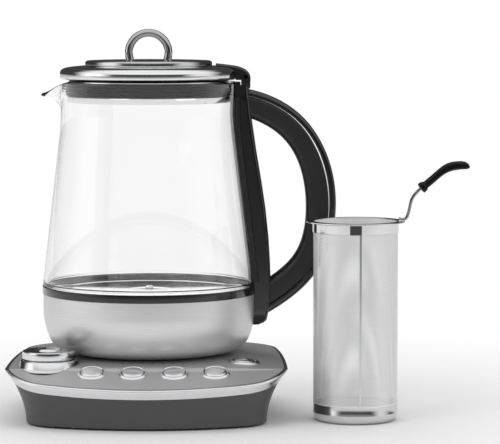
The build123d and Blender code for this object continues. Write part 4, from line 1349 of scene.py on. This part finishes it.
# ---------------------------------------------------------------- lid and cap
@dataclass(frozen=True)
class LidSizes:
    """Sizes of the lid and its cap."""

    radius: float = 65.4
    edge: float = 245.6
    edge_height: float = 4.4
    edge_pull: float = 4.5
    seat_radius: float = 47.0
    seat: float = 256.0
    seat_pull: float = 14.0
    seat_fall: float = 1.0
    sheet: float = 1.2
    opening: float = 36.5
    liner_radius: float = 60.5
    liner_low: float = 229.0
    liner_flange: float = 4.4
    liner_floor: float = 2.2
    liner_skirt: float = 58.6
    liner_skirt_bore: float = 56.6
    liner_skirt_top: float = 249.2
    liner_tube: float = 38.5
    liner_tube_top: float = 254.75
    ledge_bore: float = 31.6
    ledge_low: float = 244.0
    ledge_high: float = 246.0
    gasket_bore: float = 58.65
    gasket_radius: float = 61.6
    gasket_low: float = 234.0
    gasket_high: float = 243.4
    gasket_taper: float = 0.6
    fins: int = 5
    fin_depth: float = 2.0
    cap_top: float = 260.2
    crown_flat: float = 20.0
    crown_reach: float = 24.8
    crown_fall: float = 0.5
    cap_edge: Outline = ((45.9, 259.3), (46.6, 258.7), (46.7, 258.2), (46.7, 256.4), (46.4, 256.02))
    cap_skirt: Outline = ((33.0, 256.02), (33.0, 250.3), (32.7, 250.0), (31.4, 250.0), (31.4, 257.4),
                          (20.0, 258.4), (0.0, 258.5))
    loop_radius: float = 14.6
    loop_wire: float = 2.9
    loop_centre: float = 265.4
    loop_sunk: float = 0.3
    hinge_cover_round: float = 0.5


class Lid:
    """Spun steel lid on its hinge, with a removable cap that carries a loop."""

    def __init__(self, sizes: LidSizes | None = None) -> None:
        """Keep the sizes."""
        self.sizes = sizes or LidSizes()

    def build(self) -> None:
        """Build lid, liner, gasket, cap and loop, and dress the hinge cover."""
        self.shell()
        self.liner()
        self.gasket()
        self.cap()
        self.loop()
        dress({SILICONE: ["cap_seal"], BLACK_GLOSS: ["lid_hinge_cap"]})
        round_edges(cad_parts["lid_hinge_cap"], self.sizes.hinge_cover_round)

    def shoulder(self, inset: float) -> list[Point]:
        """Side view of the dome from its widest place to the cap's seat, moved inwards by inset.

        Args:
            inset: how far inside the outer face.

        Returns:
            Points of (radius, height).
        """
        s = self.sizes
        level = s.edge + s.edge_height
        return pulled_curve((s.radius - inset, level), (s.radius - inset, level + s.edge_pull - 0.7 * inset),
                            (s.seat_radius + s.seat_pull, s.seat - s.seat_fall - inset),
                            (s.seat_radius, s.seat - inset), 40)

    def shell(self) -> None:
        """Domed shoulder round the cap's seat."""
        s = self.sizes
        widest = (s.radius, s.edge + s.edge_height)
        lip = Curve([(s.radius - 2.6, s.edge), (s.radius - 0.4, s.edge + 1.4), widest], (1, 0.35),
                    (0, 1)).along(12)
        lip_inside = [(s.radius - s.sheet, s.edge + 2.2), (s.radius - 2.7, s.edge + 0.8)]
        inside = self.shoulder(s.sheet)[::-1]
        outline = lip[:-1] + self.shoulder(0.0) + [(s.opening, s.seat), (s.opening, s.seat - s.sheet)]
        outline += inside + lip_inside
        Piece("lid_dome", SPUN_CHROME, "lid", ("lid_shell",), sharp=40).lathe(outline, 192)

    def liner(self) -> None:
        """Steel liner with the ring that holds the gasket and the strainer's seat."""
        s = self.sizes
        floor = s.liner_low + s.liner_floor
        flange = s.liner_low + s.liner_flange
        outline = soften([
            (s.ledge_bore, s.liner_low), (s.liner_radius, s.liner_low), (s.liner_radius, flange),
            (s.liner_skirt, flange), (s.liner_skirt, s.liner_skirt_top),
            (s.liner_skirt_bore, s.liner_skirt_top), (s.liner_skirt_bore, floor), (s.liner_tube, floor),
            (s.liner_tube, s.liner_tube_top),
            (s.opening, s.liner_tube_top), (s.opening, s.ledge_high), (s.ledge_bore, s.ledge_high),
            (s.ledge_bore, s.ledge_low), (s.opening, s.ledge_low), (s.opening, floor), (s.ledge_bore, floor),
        ], 0.8, 3)
        Piece("lid_inner", CHROME, "lid", ("lid_liner",)).lathe(outline, 144)

    def gasket(self) -> None:
        """Ribbed gasket that seals the glass."""
        s = self.sizes
        pitch = (s.gasket_high - s.gasket_low) / s.fins
        outline = [(s.gasket_bore, s.gasket_high), (s.gasket_bore, s.gasket_low)]
        for fin in range(s.fins):
            low = s.gasket_low + fin * pitch
            reach = s.gasket_radius - s.gasket_taper * (1 - (fin + 1) / s.fins)
            root = s.gasket_radius - s.fin_depth
            outline += [(reach - 0.5, low), (reach, low + 0.35), (reach, low + pitch - 1.1),
                        (reach - 0.4, low + pitch - 0.8), (root, low + pitch - 0.75),
                        (root, low + pitch - 0.05)]
        Piece("lid_seal", SILICONE, "lid", ("lid_gasket",)).lathe(outline, 144)

    def cap(self) -> None:
        """Crowned cap with a skirt into the lid."""
        s = self.sizes
        crown = [(0.0, s.cap_top)]
        crown += [(s.crown_flat + s.crown_reach * f, s.cap_top - s.crown_fall * f * f) for f in steps(8)]
        outline = crown + [*s.cap_edge, *s.cap_skirt]
        Piece("cap_disc", CAP_CHROME_PAINTED_SHADE, "cap", ("cap_cover",)).lathe(outline, 192)

    def loop(self) -> None:
        """Polished finger loop, sunk a little into the cap."""
        s = self.sizes
        foot = acos((s.cap_top - s.loop_sunk - s.loop_centre) / s.loop_radius)
        path = []
        for f in steps(64):
            turn = -foot + 2 * foot * f
            path.append((s.loop_radius * sin(turn), 0.0, s.loop_centre + s.loop_radius * cos(turn)))
        Piece("cap_finger_loop", LOOP_CHROME_PAINTED_SHADE, "cap", ("cap_loop",)).tube(path, s.loop_wire, 28)


# ---------------------------------------------------------------- power base
@dataclass(frozen=True)
class BaseSizes:
    """Plan and deck of the power base."""

    front: Outline = ((-103.0, -88.0), (0.0, -118.0), (103.0, -88.0))
    side: Outline = ((103.0, -88.0), (98.5, -4.0), (91.0, 80.0))
    back: Outline = ((91.0, 80.0), (0.0, 92.0), (-91.0, 80.0))
    front_round: float = 45.0
    back_round: float = 42.0
    plan_height: float = 40.0
    flare: float = 105.0
    deck: float = 44.0
    flat_radius: float = 58.0
    fall: float = 4.0
    front_corner: Point = (80.0, -70.0)
    back_corner: Point = (70.0, 60.0)
    slope_axis: float = 292.0
    slope_radius: float = 372.0
    slope_top: float = 40.0
    slope_angle: float = 18.0
    slope_break: float = 1.0
    rim_stand: float = 0.8
    rim_inner: float = 2.4
    rim_depth: float = 5.55


class BasePlan:
    """Rounded plan of the base as closed loops at any inset."""

    def __init__(self, sizes: BaseSizes) -> None:
        """Work out the circles that the plan is made of.

        Args:
            sizes: sizes of the base.
        """
        self.sizes = sizes
        self.front = self._circle(sizes.front)
        self.side = self._circle(sizes.side)
        self.back = self._circle(sizes.back)
        self.front_corner = self._fillet(self.front, self.side, sizes.front_round, sizes.front_corner)
        self.back_corner = self._fillet(self.side, self.back, sizes.back_round, sizes.back_corner)

    @staticmethod
    def _circle(points: Outline) -> tuple[Vector, float]:
        """Circle through three points, as centre and radius.

        Args:
            points: the three points.

        Returns:
            Centre and radius.
        """
        a, b, c = (Vector(p) for p in points)
        turn = 2 * ((b - a).x * (c - a).y - (b - a).y * (c - a).x)
        ab, ac = (b - a).length_squared, (c - a).length_squared
        centre = a + Vector(((c - a).y * ab - (b - a).y * ac, (b - a).x * ac - (c - a).x * ab)) / turn
        return centre, (a - centre).length

    @staticmethod
    def _fillet(first: tuple[Vector, float], second: tuple[Vector, float], radius: float,
                near: Point) -> Vector:
        """Centre of a fillet inside two circles, the one near a point.

        Args:
            first: one circle.
            second: the other.
            radius: of the fillet.
            near: a point near the wanted centre.

        Returns:
            The centre.
        """
        (a, ra), (b, rb) = (first[0], first[1] - radius), (second[0], second[1] - radius)
        apart = (b - a).length
        along = (ra * ra - rb * rb + apart * apart) / (2 * apart)
        off = sqrt(max(ra * ra - along * along, 0.0))
        run = (b - a).normalized()
        options = [a + run * along + Vector((-run.y, run.x)) * off * way for way in (1, -1)]
        return min(options, key=lambda c: (c - Vector(near)).length)

    def loop(self, inset: float, density: int = 26) -> list[Point]:
        """Closed loop, from the front's middle round by the right.

        Args:
            inset: how far inside the plan.
            density: points on each arc.

        Returns:
            Points in millimetres.
        """
        s = self.sizes

        def arc(centre: Vector, radius: float, start: Vector, end: Vector, count: int) -> list[Vector]:
            """Points from one direction to another about a centre, without the last.

            Args:
                centre: of the arc.
                radius: of the arc.
                start: first direction.
                end: last direction.
                count: number of points.

            Returns:
                The points.
            """
            first, last = atan2(*start.yx), atan2(*end.yx)
            while last < first:
                last += 2 * pi
            return [centre + radius * Vector((cos(first + (last - first) * i / count),
                                              sin(first + (last - first) * i / count))) for i in range(count)]

        front_to_corner = (self.front_corner - self.front[0]).normalized()
        corner_to_side = (self.front_corner - self.side[0]).normalized()
        side_to_corner = (self.back_corner - self.side[0]).normalized()
        corner_to_back = (self.back_corner - self.back[0]).normalized()
        half = arc(self.front[0], self.front[1] - inset, Vector((0, -1)), front_to_corner, density)
        half += arc(self.front_corner, s.front_round - inset, front_to_corner, corner_to_side, density)
        half += arc(self.side[0], self.side[1] - inset, corner_to_side, side_to_corner, density)
        half += arc(self.back_corner, s.back_round - inset, side_to_corner, corner_to_back, density)
        half += arc(self.back[0], self.back[1] - inset, corner_to_back, Vector((0, 1)), density)
        half.append(Vector((0, self.sizes.back[1][1] - inset)))
        return [(p.x, p.y) for p in half] + [(-p.x, p.y) for p in half[-2:0:-1]]

    def wall_inset(self, height: float) -> float:
        """How far the flared wall lies inside the plan at a height."""
        return (self.sizes.plan_height ** 2 - height ** 2) / self.sizes.flare


class Deck:
    """Upper surface of the base: a shallow cone, cut in front by the control slope."""

    def __init__(self, sizes: BaseSizes) -> None:
        """Keep the sizes."""
        self.sizes = sizes

    def plateau(self, x: float, y: float) -> float:
        """Height of the cone."""
        s = self.sizes
        return s.deck - max(hypot(x, y) - s.flat_radius, 0) * tan(radians(s.fall))

    def away(self, x: float, y: float) -> float:
        """Distance in front of the control slope's back edge."""
        return hypot(x, y - self.sizes.slope_axis) - self.sizes.slope_radius

    def height(self, x: float, y: float, drop: float = 0.0) -> float:
        """Height of the surface, or of the same surface lowered by drop.

        Args:
            x: place along X.
            y: place along Y.
            drop: how far the surface is lowered.

        Returns:
            The height.
        """
        s = self.sizes
        front = self.away(x, y) + drop
        top = self.plateau(x, y) - drop
        if front <= -s.slope_break:
            return top
        slope = s.slope_top - drop - max(front, 0.0) * tan(radians(s.slope_angle))
        if front < 0.0:
            step = slope + (top - slope) * min(1.0, sqrt(-front / s.slope_break)) if top > slope else top
            return min(top, step)
        return min(top, slope)

    def slope_place(self, x: float, setback: float) -> Matrix:
        """Frame on the control slope, square to its middle line.

        Args:
            x: place along X.
            setback: distance in front of the slope's back edge.

        Returns:
            The frame.
        """
        s = self.sizes
        y = s.slope_axis - sqrt((s.slope_radius + setback) ** 2 - x ** 2)
        z = s.slope_top - setback * tan(radians(s.slope_angle))
        return Matrix.Translation((x, y, z)) @ Matrix.Rotation(radians(s.slope_angle), 4, "X")

    def plateau_place(self, x: float, y: float) -> Matrix:
        """Frame on the plateau.

        Args:
            x: place along X.
            y: place along Y.

        Returns:
            The frame.
        """
        tilt = Vector((x, y, 0)).normalized().cross(Vector((0, 0, 1)))
        return (Matrix.Translation((x, y, self.plateau(x, y)))
                @ Matrix.Rotation(-radians(self.sizes.fall), 4, tilt))


@dataclass(frozen=True)
class ControlSizes:
    """Places and side views, as (radius, height), of the knob and the push buttons."""

    knob: Point = (-70.3, -59.5)
    dish: Outline = ((3.3, 38.0), (21.7, 38.0), (21.7, 40.5), (20.6, 45.1), (19.8, 45.8), (17.6, 45.8),
                     (16.4, 44.6), (3.3, 44.6))
    ring: Outline = ((3.1, 46.2), (18.4, 46.2), (19.1, 46.9), (19.0, 51.9), (18.5, 52.4), (18.2, 52.4),
                     (18.2, 51.6), (9.1, 51.6), (9.1, 48.6), (3.1, 48.6))
    inlay: Outline = ((9.2, 51.62), (18.1, 51.62), (18.1, 52.35), (17.6, 52.5), (9.7, 52.5), (9.2, 52.3))
    middle_top: float = 54.6
    middle_crown: Point = (7.4, 0.9)
    middle_side: Outline = ((8.2, 53.3), (8.7, 52.6), (8.8, 51.9), (8.8, 50.0), (8.4, 49.9), (0.0, 49.9))
    row_start: float = -38.2
    row_pitch: float = 29.4
    row_setback: float = 4.5
    row_count: int = 4
    row_flange: float = 10.4
    side_button: Point = (70.3, -48.0)
    side_flange: float = 11.6
    press_top: float = 2.4
    press_crown: Point = (6.6, 0.35)
    press_side: Outline = ((7.3, 1.75), (7.75, 1.2), (7.85, 0.5), (7.85, -3.4), (7.6, -3.6), (0.0, -3.6))

    def bezel(self, flange: float) -> list[Point]:
        """Side view of a button's bezel with this radius."""
        return soften([(8.15, -3.3), (9.3, -3.3), (9.3, -0.8), (flange, -0.6), (flange, 0.3),
                       (flange - 0.9, 1.5), (8.85, 1.5), (8.15, 0.8)], 0.45, 4)

    @staticmethod
    def crowned(top: float, crown: Point, side: Outline, parts: int) -> list[Point]:
        """Side view of a button whose top falls over a reach, then goes on down its side."""
        reach, fall = crown
        return [(0.0, top)] + [(reach * f, top - fall * f * f) for f in steps(parts)[1:]] + list(side)


class PowerBase:
    """Base with its deck, rim, knob, buttons, lights and underside."""

    def __init__(self, sizes: BaseSizes | None = None, controls: ControlSizes | None = None) -> None:
        """Keep the sizes and work out plan and deck.

        Args:
            sizes: sizes of the base, or None for the usual ones.
            controls: sizes of the controls, or None for the usual ones.
        """
        self.sizes = sizes or BaseSizes()
        self.controls = controls or ControlSizes()
        self.plan = BasePlan(self.sizes)
        self.deck = Deck(self.sizes)

    def build(self) -> None:
        """Build the shell, the deck and the controls."""
        self.rim()
        self.knob()
        self.buttons()
        dress({
            GREY_SHELL: ["base_housing"],
            STEEL_DECK: ["base_top_plate"],
            BLACK_MATT: ["base_bottom_cover", "base_connector"],
            FOOT_RUBBER: ["base_feet", "cord_gland"],
            STEEL_PLAIN: ["base_screws", "encoder_shaft"],
            BLACK_GLOSS: [f"switch_{n}" for n in range(1, 6)],
            CAST: ["encoder"],
            BOARD: ["control_board", "side_boards"],
            LENS: ["indicator_lights"],
        })

    def wall_point(self, corner: Point, inward: Point, inset: float, drop: float) -> Point3:
        """Where the flared wall, moved in by inset, meets the deck's surface lowered by drop.

        Args:
            corner: a point of the plan.
            inward: the same point of the plan moved in by one millimetre.
            inset: how far inside the wall.
            drop: how far under the deck.

        Returns:
            The point in millimetres.
        """
        height = self.sizes.deck
        for _ in range(6):
            total = self.plan.wall_inset(height) + inset
            x = corner[0] + (inward[0] - corner[0]) * total
            y = corner[1] + (inward[1] - corner[1]) * total
            height = self.deck.height(x, y, drop)
        return x, y, height

    def rim(self) -> None:
        """Bright rim that follows the deck's edge."""
        s = self.sizes
        stand = -s.rim_stand
        section = [(stand, s.rim_depth), (stand, 5.0), (stand - 0.05, 3.5), (stand, 1.4), (stand + 0.3, 0.5),
                   (stand + 1.0, 0.06), (1.5, 0.0), (2.2, 0.15), (s.rim_inner, 0.6), (s.rim_inner, s.rim_depth)]
        edge, inner = self.plan.loop(0, 40), self.plan.loop(1, 40)
        loops = [[self.wall_point(a, b, inset, drop) for a, b in zip(edge, inner)] for inset, drop in section]
        Piece("base_bright_rim", CHROME, "base", ("base_rim",), sharp=50).loft(loops, caps=False, ring=True)

    def knob(self) -> None:
        """Selector knob in its dish, with a push button at its centre."""
        c = self.controls
        place = Matrix.Translation((*c.knob, 0))
        Piece("selector_dish", CHROME, "base", ("knob_dish",)).lathe(soften(c.dish, 0.5, 4), 128, place)
        Piece("selector_ring", CHROME, "knob", ("knob",)).lathe(soften(c.ring, 0.25, 3), 128, place)
        inlay = soften(c.inlay, 0.2, 3)
        Piece("selector_inlay", BLACK_GLOSS, "knob", ("knob_inlay",)).lathe(inlay, 128, place)
        dome = c.crowned(c.middle_top, c.middle_crown, c.middle_side, 9)
        Piece("selector_button", CHROME, "knob_button", ("knob_button",)).lathe(dome, 96, place)

    def buttons(self) -> None:
        """Push buttons with their bezels: a row on the control slope, and one on the deck beside it."""
        c = self.controls
        seats = [(self.deck.slope_place(c.row_start + c.row_pitch * i, c.row_setback), c.row_flange)
                 for i in range(c.row_count)]
        seats.append((self.deck.plateau_place(*c.side_button), c.side_flange))
        dome = c.crowned(c.press_top, c.press_crown, c.press_side, 8)
        for number, (place, flange) in enumerate(seats, 1):
            ring, press = f"bezel_{number}", f"button_{number}"
            Piece(f"press_bezel_{number}", CHROME, "base", (ring,)).lathe(c.bezel(flange), 96, place)
            Piece(f"press_cap_{number}", CHROME, press, (press,)).lathe(dome, 96, place)


# ---------------------------------------------------------------- strainer
@dataclass(frozen=True)
class StrainerSizes:
    """Loose strainer, about its own upright axis."""

    x: float = 151.0
    y: float = -46.0
    radius: float = 30.6
    height: float = 145.0
    sheet: float = 0.6
    band: float = 8.2
    cup: float = 12.8
    flange: float = 35.6
    lap: Point = (-5.2, 3.2)
    seam: Point = (1.8, 3.2)
    strip_under: float = 0.02
    strip_proud: float = 0.28
    cup_round: float = 5.0
    hook_line: Outline = ((31.0, 1.1), (36.2, 1.3), (37.4, 3.4), (41.4, 16.9), (42.6, 18.6), (47.0, 23.2),
                          (60.0, 33.5))
    hook_half_width: float = 2.55
    hook_half_depth: float = 1.08
    hook_fullness: float = 1.35
    grip_back: Outline = ((44.1, 26.3), (54.5, 33.0), (66.0, 41.4), (77.0, 43.1))
    grip_belly: Outline = ((49.3, 19.7), (55.0, 25.4), (67.0, 35.1), (80.4, 37.4))
    grip_depths: Outline = ((0.0, 0.6), (0.015, 0.95), (0.10, 0.95), (0.13, 0.72), (0.2, 0.8), (0.35, 0.92),
                            (0.8, 1.0), (0.95, 1.0), (0.985, 0.8), (1.0, 0.35))
    grip_widths: Outline = ((0.0, 0.7), (0.02, 1.0), (0.10, 1.0), (0.13, 0.8), (0.3, 0.9), (0.9, 1.0),
                            (1.0, 0.6))
    grip_half_width: float = 4.2
    grip_fullness: float = 1.12
    grip_end: float = 3.0
    grip_end_from: float = 0.9


class Strainer:
    """Punched steel tube with a polished rim, a solid cup and a bracket with a grip."""

    def __init__(self, sizes: StrainerSizes | None = None) -> None:
        """Keep the sizes and the axis."""
        self.sizes = sizes or StrainerSizes()
        self.axis = Matrix.Translation((self.sizes.x, self.sizes.y, 0))

    def build(self) -> None:
        """Build the strainer's pieces."""
        self.tube()
        self.rim()
        self.hook()
        self.grip()

    def tube(self) -> None:
        """Punched wall and drawn cup."""
        s = self.sizes
        wall = [(s.radius, s.cup), (s.radius, s.height - s.sheet), (s.radius - s.sheet, s.height - s.sheet),
                (s.radius - s.sheet, s.cup)]
        Piece("strainer_tube", MESH_STEEL, "strainer", ("strainer_wall",)).lathe(wall, 160, self.axis)
        corner, level = s.radius - s.cup_round, s.cup_round
        inner = s.cup_round - s.sheet
        turns = [QUARTER * f for f in steps(9)]
        outside = [(0.0, 0.0)] + [(corner + s.cup_round * sin(t), level - s.cup_round * cos(t)) for t in turns]
        outside += [(s.radius, 5.6), (s.radius + 0.15, 6.0), (s.radius + 0.15, 6.6), (s.radius, 7.0),
                    (s.radius, s.cup)]
        turns = [QUARTER * f for f in steps(7)]
        inside = [(s.radius - s.sheet, s.cup)]
        inside += [(corner + inner * cos(t), level - inner * sin(t)) for t in turns] + [(0.0, s.sheet)]
        Piece("strainer_pan", STRAINER_STEEL, "strainer", ("strainer_cup",)).lathe(
            outside + inside, 160, self.axis)

    def rim(self) -> None:
        """Polished band with a rolled flange."""
        s = self.sizes
        outer, bore, low = s.radius + s.sheet, s.radius + 0.02, s.height - s.band
        outline = soften([
            (bore, low), (outer, low), (outer, s.height - 1.6), (s.flange - 1.2, s.height - 0.9),
            (s.flange - 0.6, s.height - 1.2), (s.flange, s.height - 1.1), (s.flange, s.height - 0.2),
            (s.flange - 0.6, s.height), (s.radius - s.sheet, s.height), (s.radius - s.sheet, s.height - 0.58),
            (bore, s.height - 0.6),
        ], 0.4, 4)
        Piece("strainer_band", CHROME, "strainer", ("strainer_rim",)).lathe(outline, 160, self.axis)
        self.strip("strainer_lap", STAINED_STEEL, s.lap, (low, s.height - 1.7), outer)
        self.strip("strainer_seam", STRAINER_STEEL, s.seam, (s.cup + 0.2, low), s.radius)

    def strip(self, name: str, finish: Finish, across: Point, up: Point, radius: float) -> None:
        """Thin upright strip on the front of the tube.

        Args:
            name: the piece's name.
            finish: its finish.
            across: where it starts and ends across, from the strainer's axis.
            up: its lowest and highest level.
            radius: of what it lies on.
        """
        s = self.sizes
        loops = []
        for height in up:
            outline = []
            for proud, order in ((s.strip_under, steps(7)), (s.strip_proud, steps(7)[::-1])):
                for f in order:
                    x = across[0] + (across[1] - across[0]) * f
                    reach = radius + proud
                    outline.append((s.x + x, s.y - sqrt(reach * reach - x * x), height))
            loops.append(outline)
        Piece(name, finish, "strainer").loft(loops)

    def spot(self, side: Vector, across: float) -> Point3:
        """A point of the side view, measured from the axis and the rim, set across it."""
        return self.sizes.x + side.x, self.sizes.y + across, self.sizes.height + side.y

    def hook(self) -> None:
        """Bent steel bracket of flattened bar."""
        s = self.sizes
        path = Curve(s.hook_line, (1, 0), None)
        sides, ahead = 16, 0.01
        loops = []
        for f in steps(60):
            run = path.at(min(f + ahead, 1)) - path.at(max(f - ahead, 0))
            run.normalize()
            normal = Vector((-run.y, run.x))
            loop = []
            for k in range(sides):
                across, up = squared(2 * pi * k / sides, s.hook_fullness)
                place = path.at(f) + normal * (s.hook_half_depth * up)
                loop.append(self.spot(place, s.hook_half_width * across))
            loops.append(loop)
        Piece("strainer_hook", CHROME, "strainer", ("strainer_bracket",)).loft(loops)

    def grip(self) -> None:
        """Soft grip, waisted behind its collar and rounded at its end."""
        s = self.sizes
        back, belly = Curve(s.grip_back), Curve(s.grip_belly)
        sides = 28
        loops = []
        for f in steps(60):
            middle, half = (back.at(f) + belly.at(f)) / 2, (back.at(f) - belly.at(f)) / 2
            depth, width = between(f, s.grip_depths), s.grip_half_width * between(f, s.grip_widths)
            end = Vector((s.grip_end * max(0.0, (f - s.grip_end_from) / (1 - s.grip_end_from)), 0))
            loop = []
            for k in range(sides):
                across, up = squared(2 * pi * k / sides, s.grip_fullness)
                loop.append(self.spot(middle + half * depth * up + end, width * across))
            loops.append(loop)
        Piece("strainer_grip_body", GRIP_BLACK, "strainer", ("strainer_grip",)).loft(loops)


# ---------------------------------------------------------------- studio
@dataclass(frozen=True)
class Camera:
    """Camera by its place in metres, its pitch and its field of view."""

    place: Point3 = (0.0746, -1.980, 0.2994)
    pitch: float = 4.595
    focal_pixels: float = 2684.0
    image_width: float = 500.0
    sensor: float = 36.0
    near: float = 0.05
    far: float = 60.0

    def build(self) -> None:
        """Make the scene's camera."""
        data = bpy.data.cameras.new("camera")
        data.sensor_width = self.sensor
        data.lens = self.focal_pixels / self.image_width * self.sensor
        data.clip_start, data.clip_end = self.near, self.far
        made = bpy.data.objects.new("camera", data)
        made.location = self.place
        made.rotation_euler = (radians(90 - self.pitch), 0, 0)
        bpy.context.scene.collection.objects.link(made)
        bpy.context.scene.camera = made


@dataclass(frozen=True)
class Softbox:
    """Area light aimed at the object."""

    name: str
    place: Point3
    size: Point
    power: float
    aim: Point3 = (0.05, 0.0, 0.13)

    def build(self) -> None:
        """Make the light."""
        data = bpy.data.lights.new(self.name, "AREA")
        data.shape = "RECTANGLE"
        data.size, data.size_y = self.size
        data.energy = self.power
        made = bpy.data.objects.new(self.name, data)
        made.visible_glossy = False
        made.location = self.place
        made.rotation_mode = "QUATERNION"
        way = Vector(self.aim) - Vector(self.place)
        made.rotation_quaternion = way.to_track_quat("-Z", "Y")
        bpy.context.scene.collection.objects.link(made)


class Studio:
    """Pale floor, soft lamps and a light room."""

    # What metal mirrors: brightness at the horizon and overhead, and the heights between which
    # the front and the back of the room go from one to the other.
    front_horizon = 0.03
    front_rise = (0.12, 0.35)
    back_horizon = 0.05
    back_rise = (0.6, 0.85)
    back_from = (0.1, 0.45)
    overhead = 1.0
    # Bright boxes at both sides: how far out they start, and how each axis weakens them.
    side_box = 1.05
    side_from = (0.7, 0.9)
    side_fades = (("Z", 0.3, 0.75, 1.0, 0.3), ("Y", -0.1, 0.35, 1.0, 0.0), ("X", -0.6, 0.6, 1.25, 0.85))
    ambient = 0.75
    lamps = (
        Softbox("key", (-1.1, -1.2, 1.5), (1.0, 1.0), 7.0),
        Softbox("fill", (1.3, -0.9, 1.0), (0.9, 1.2), 3.0),
        Softbox("top", (0.0, 0.3, 1.9), (1.6, 1.2), 7.0),
        Softbox("back", (0.2, 1.8, 0.9), (2.4, 1.2), 4.0),
    )
    floor_reach = 12.0
    # Painted shade: the floor's colour goes from dark far in front to pale near the object, so that metal
    # mirrors a dark front.
    floor_shade_tones = (0.22, 0.86)
    floor_shade_rise = (-1.3, -0.35)
    floor_middle = (0.05, -0.02, 0.0)
    floor_fade = (0.16, 0.5)

    def build(self) -> None:
        """Make room, lamps, floor and camera."""
        bpy.context.scene.view_settings.view_transform = "Standard"
        self.room()
        self.floor()
        for lamp in self.lamps:
            lamp.build()
        Camera().build()

    def room(self) -> None:
        """World: white behind the object, even light on it, and soft boxes with dark gaps to mirror."""
        world = bpy.data.worlds.new("room")
        bpy.context.scene.world = world
        world.use_nodes = True
        graph = Graph(world.node_tree)
        background = next(n for n in world.node_tree.nodes if n.type == "BACKGROUND")
        path = graph.node("LightPath").outputs
        direct = graph.math("MAXIMUM", path["Is Camera Ray"], path["Is Transmission Ray"])
        way = graph.parts(graph.node("TexCoord").outputs["Generated"])
        front = graph.spread(way["Z"], *self.front_rise, self.front_horizon, self.overhead)
        back = graph.spread(way["Z"], *self.back_rise, self.back_horizon, self.overhead)
        behind = graph.spread(way["Y"], *self.back_from)
        mirrored = graph.math("ADD", graph.product(back, behind),
                              graph.product(front, graph.math("SUBTRACT", 1.0, behind)))
        side = graph.spread(graph.math("ABSOLUTE", way["X"]), *self.side_from, 0.0, self.side_box)
        for axis, *fade in self.side_fades:
            side = graph.product(side, graph.spread(way[axis], *fade))
        mirrored = graph.math("MAXIMUM", mirrored, side)
        lit = graph.product(path["Is Diffuse Ray"], self.ambient)
        unlit = graph.math("SUBTRACT", 1.0, path["Is Diffuse Ray"])
        tone = graph.math("ADD", lit, graph.product(unlit, mirrored))
        graph.feed(background.inputs["Color"], graph.blend(direct, graph.grey(tone), WHITE))

    def floor(self) -> None:
        """Floor that fades to white away from the object, its colour darkened far in front as painted shade for
        metal to mirror.
        """
        mesh = bpy.data.meshes.new("floor")
        reach = self.floor_reach
        mesh.from_pydata([(-reach, -reach, 0), (reach, -reach, 0), (reach, reach, 0), (-reach, reach, 0)], [],
                         [(0, 1, 2, 3)])
        made = bpy.data.objects.new("floor", mesh)
        bpy.context.scene.collection.objects.link(made)
        material = bpy.data.materials.new("floor")
        material.use_nodes = True
        graph = Graph(material.node_tree)
        shader = material.node_tree.nodes["Principled BSDF"]
        place = graph.place()
        # Painted shade: the floor's colour darkens far in front so that metal mirrors it dark.
        near = graph.spread(graph.parts(place)["Y"], *self.floor_shade_rise, *self.floor_shade_tones)
        graph.wire(shader, {"Base Color": graph.grey(near), "Roughness": 0.55, "Specular IOR Level": 0.2})
        away = graph.node("VectorMath", {0: place, 1: self.floor_middle}, operation="DISTANCE")
        fade = graph.spread(away.outputs["Value"], *self.floor_fade)
        path = graph.node("LightPath").outputs
        seen = graph.math("MAXIMUM", path["Is Camera Ray"], path["Is Transmission Ray"])
        white = graph.node("Emission", {"Color": WHITE, "Strength": 1.0})
        graph.surface(graph.product(fade, seen), shader, white)
        mesh.materials.append(material)


def main() -> None:
    """Build the sub-assemblies in order, then the studio."""
    logging.basicConfig(level=logging.INFO, format="%(message)s")
    PowerBase().build()
    Kettle().build()
    Lid().build()
    Strainer().build()
    Studio().build()


if __name__ == "__main__":
    main()
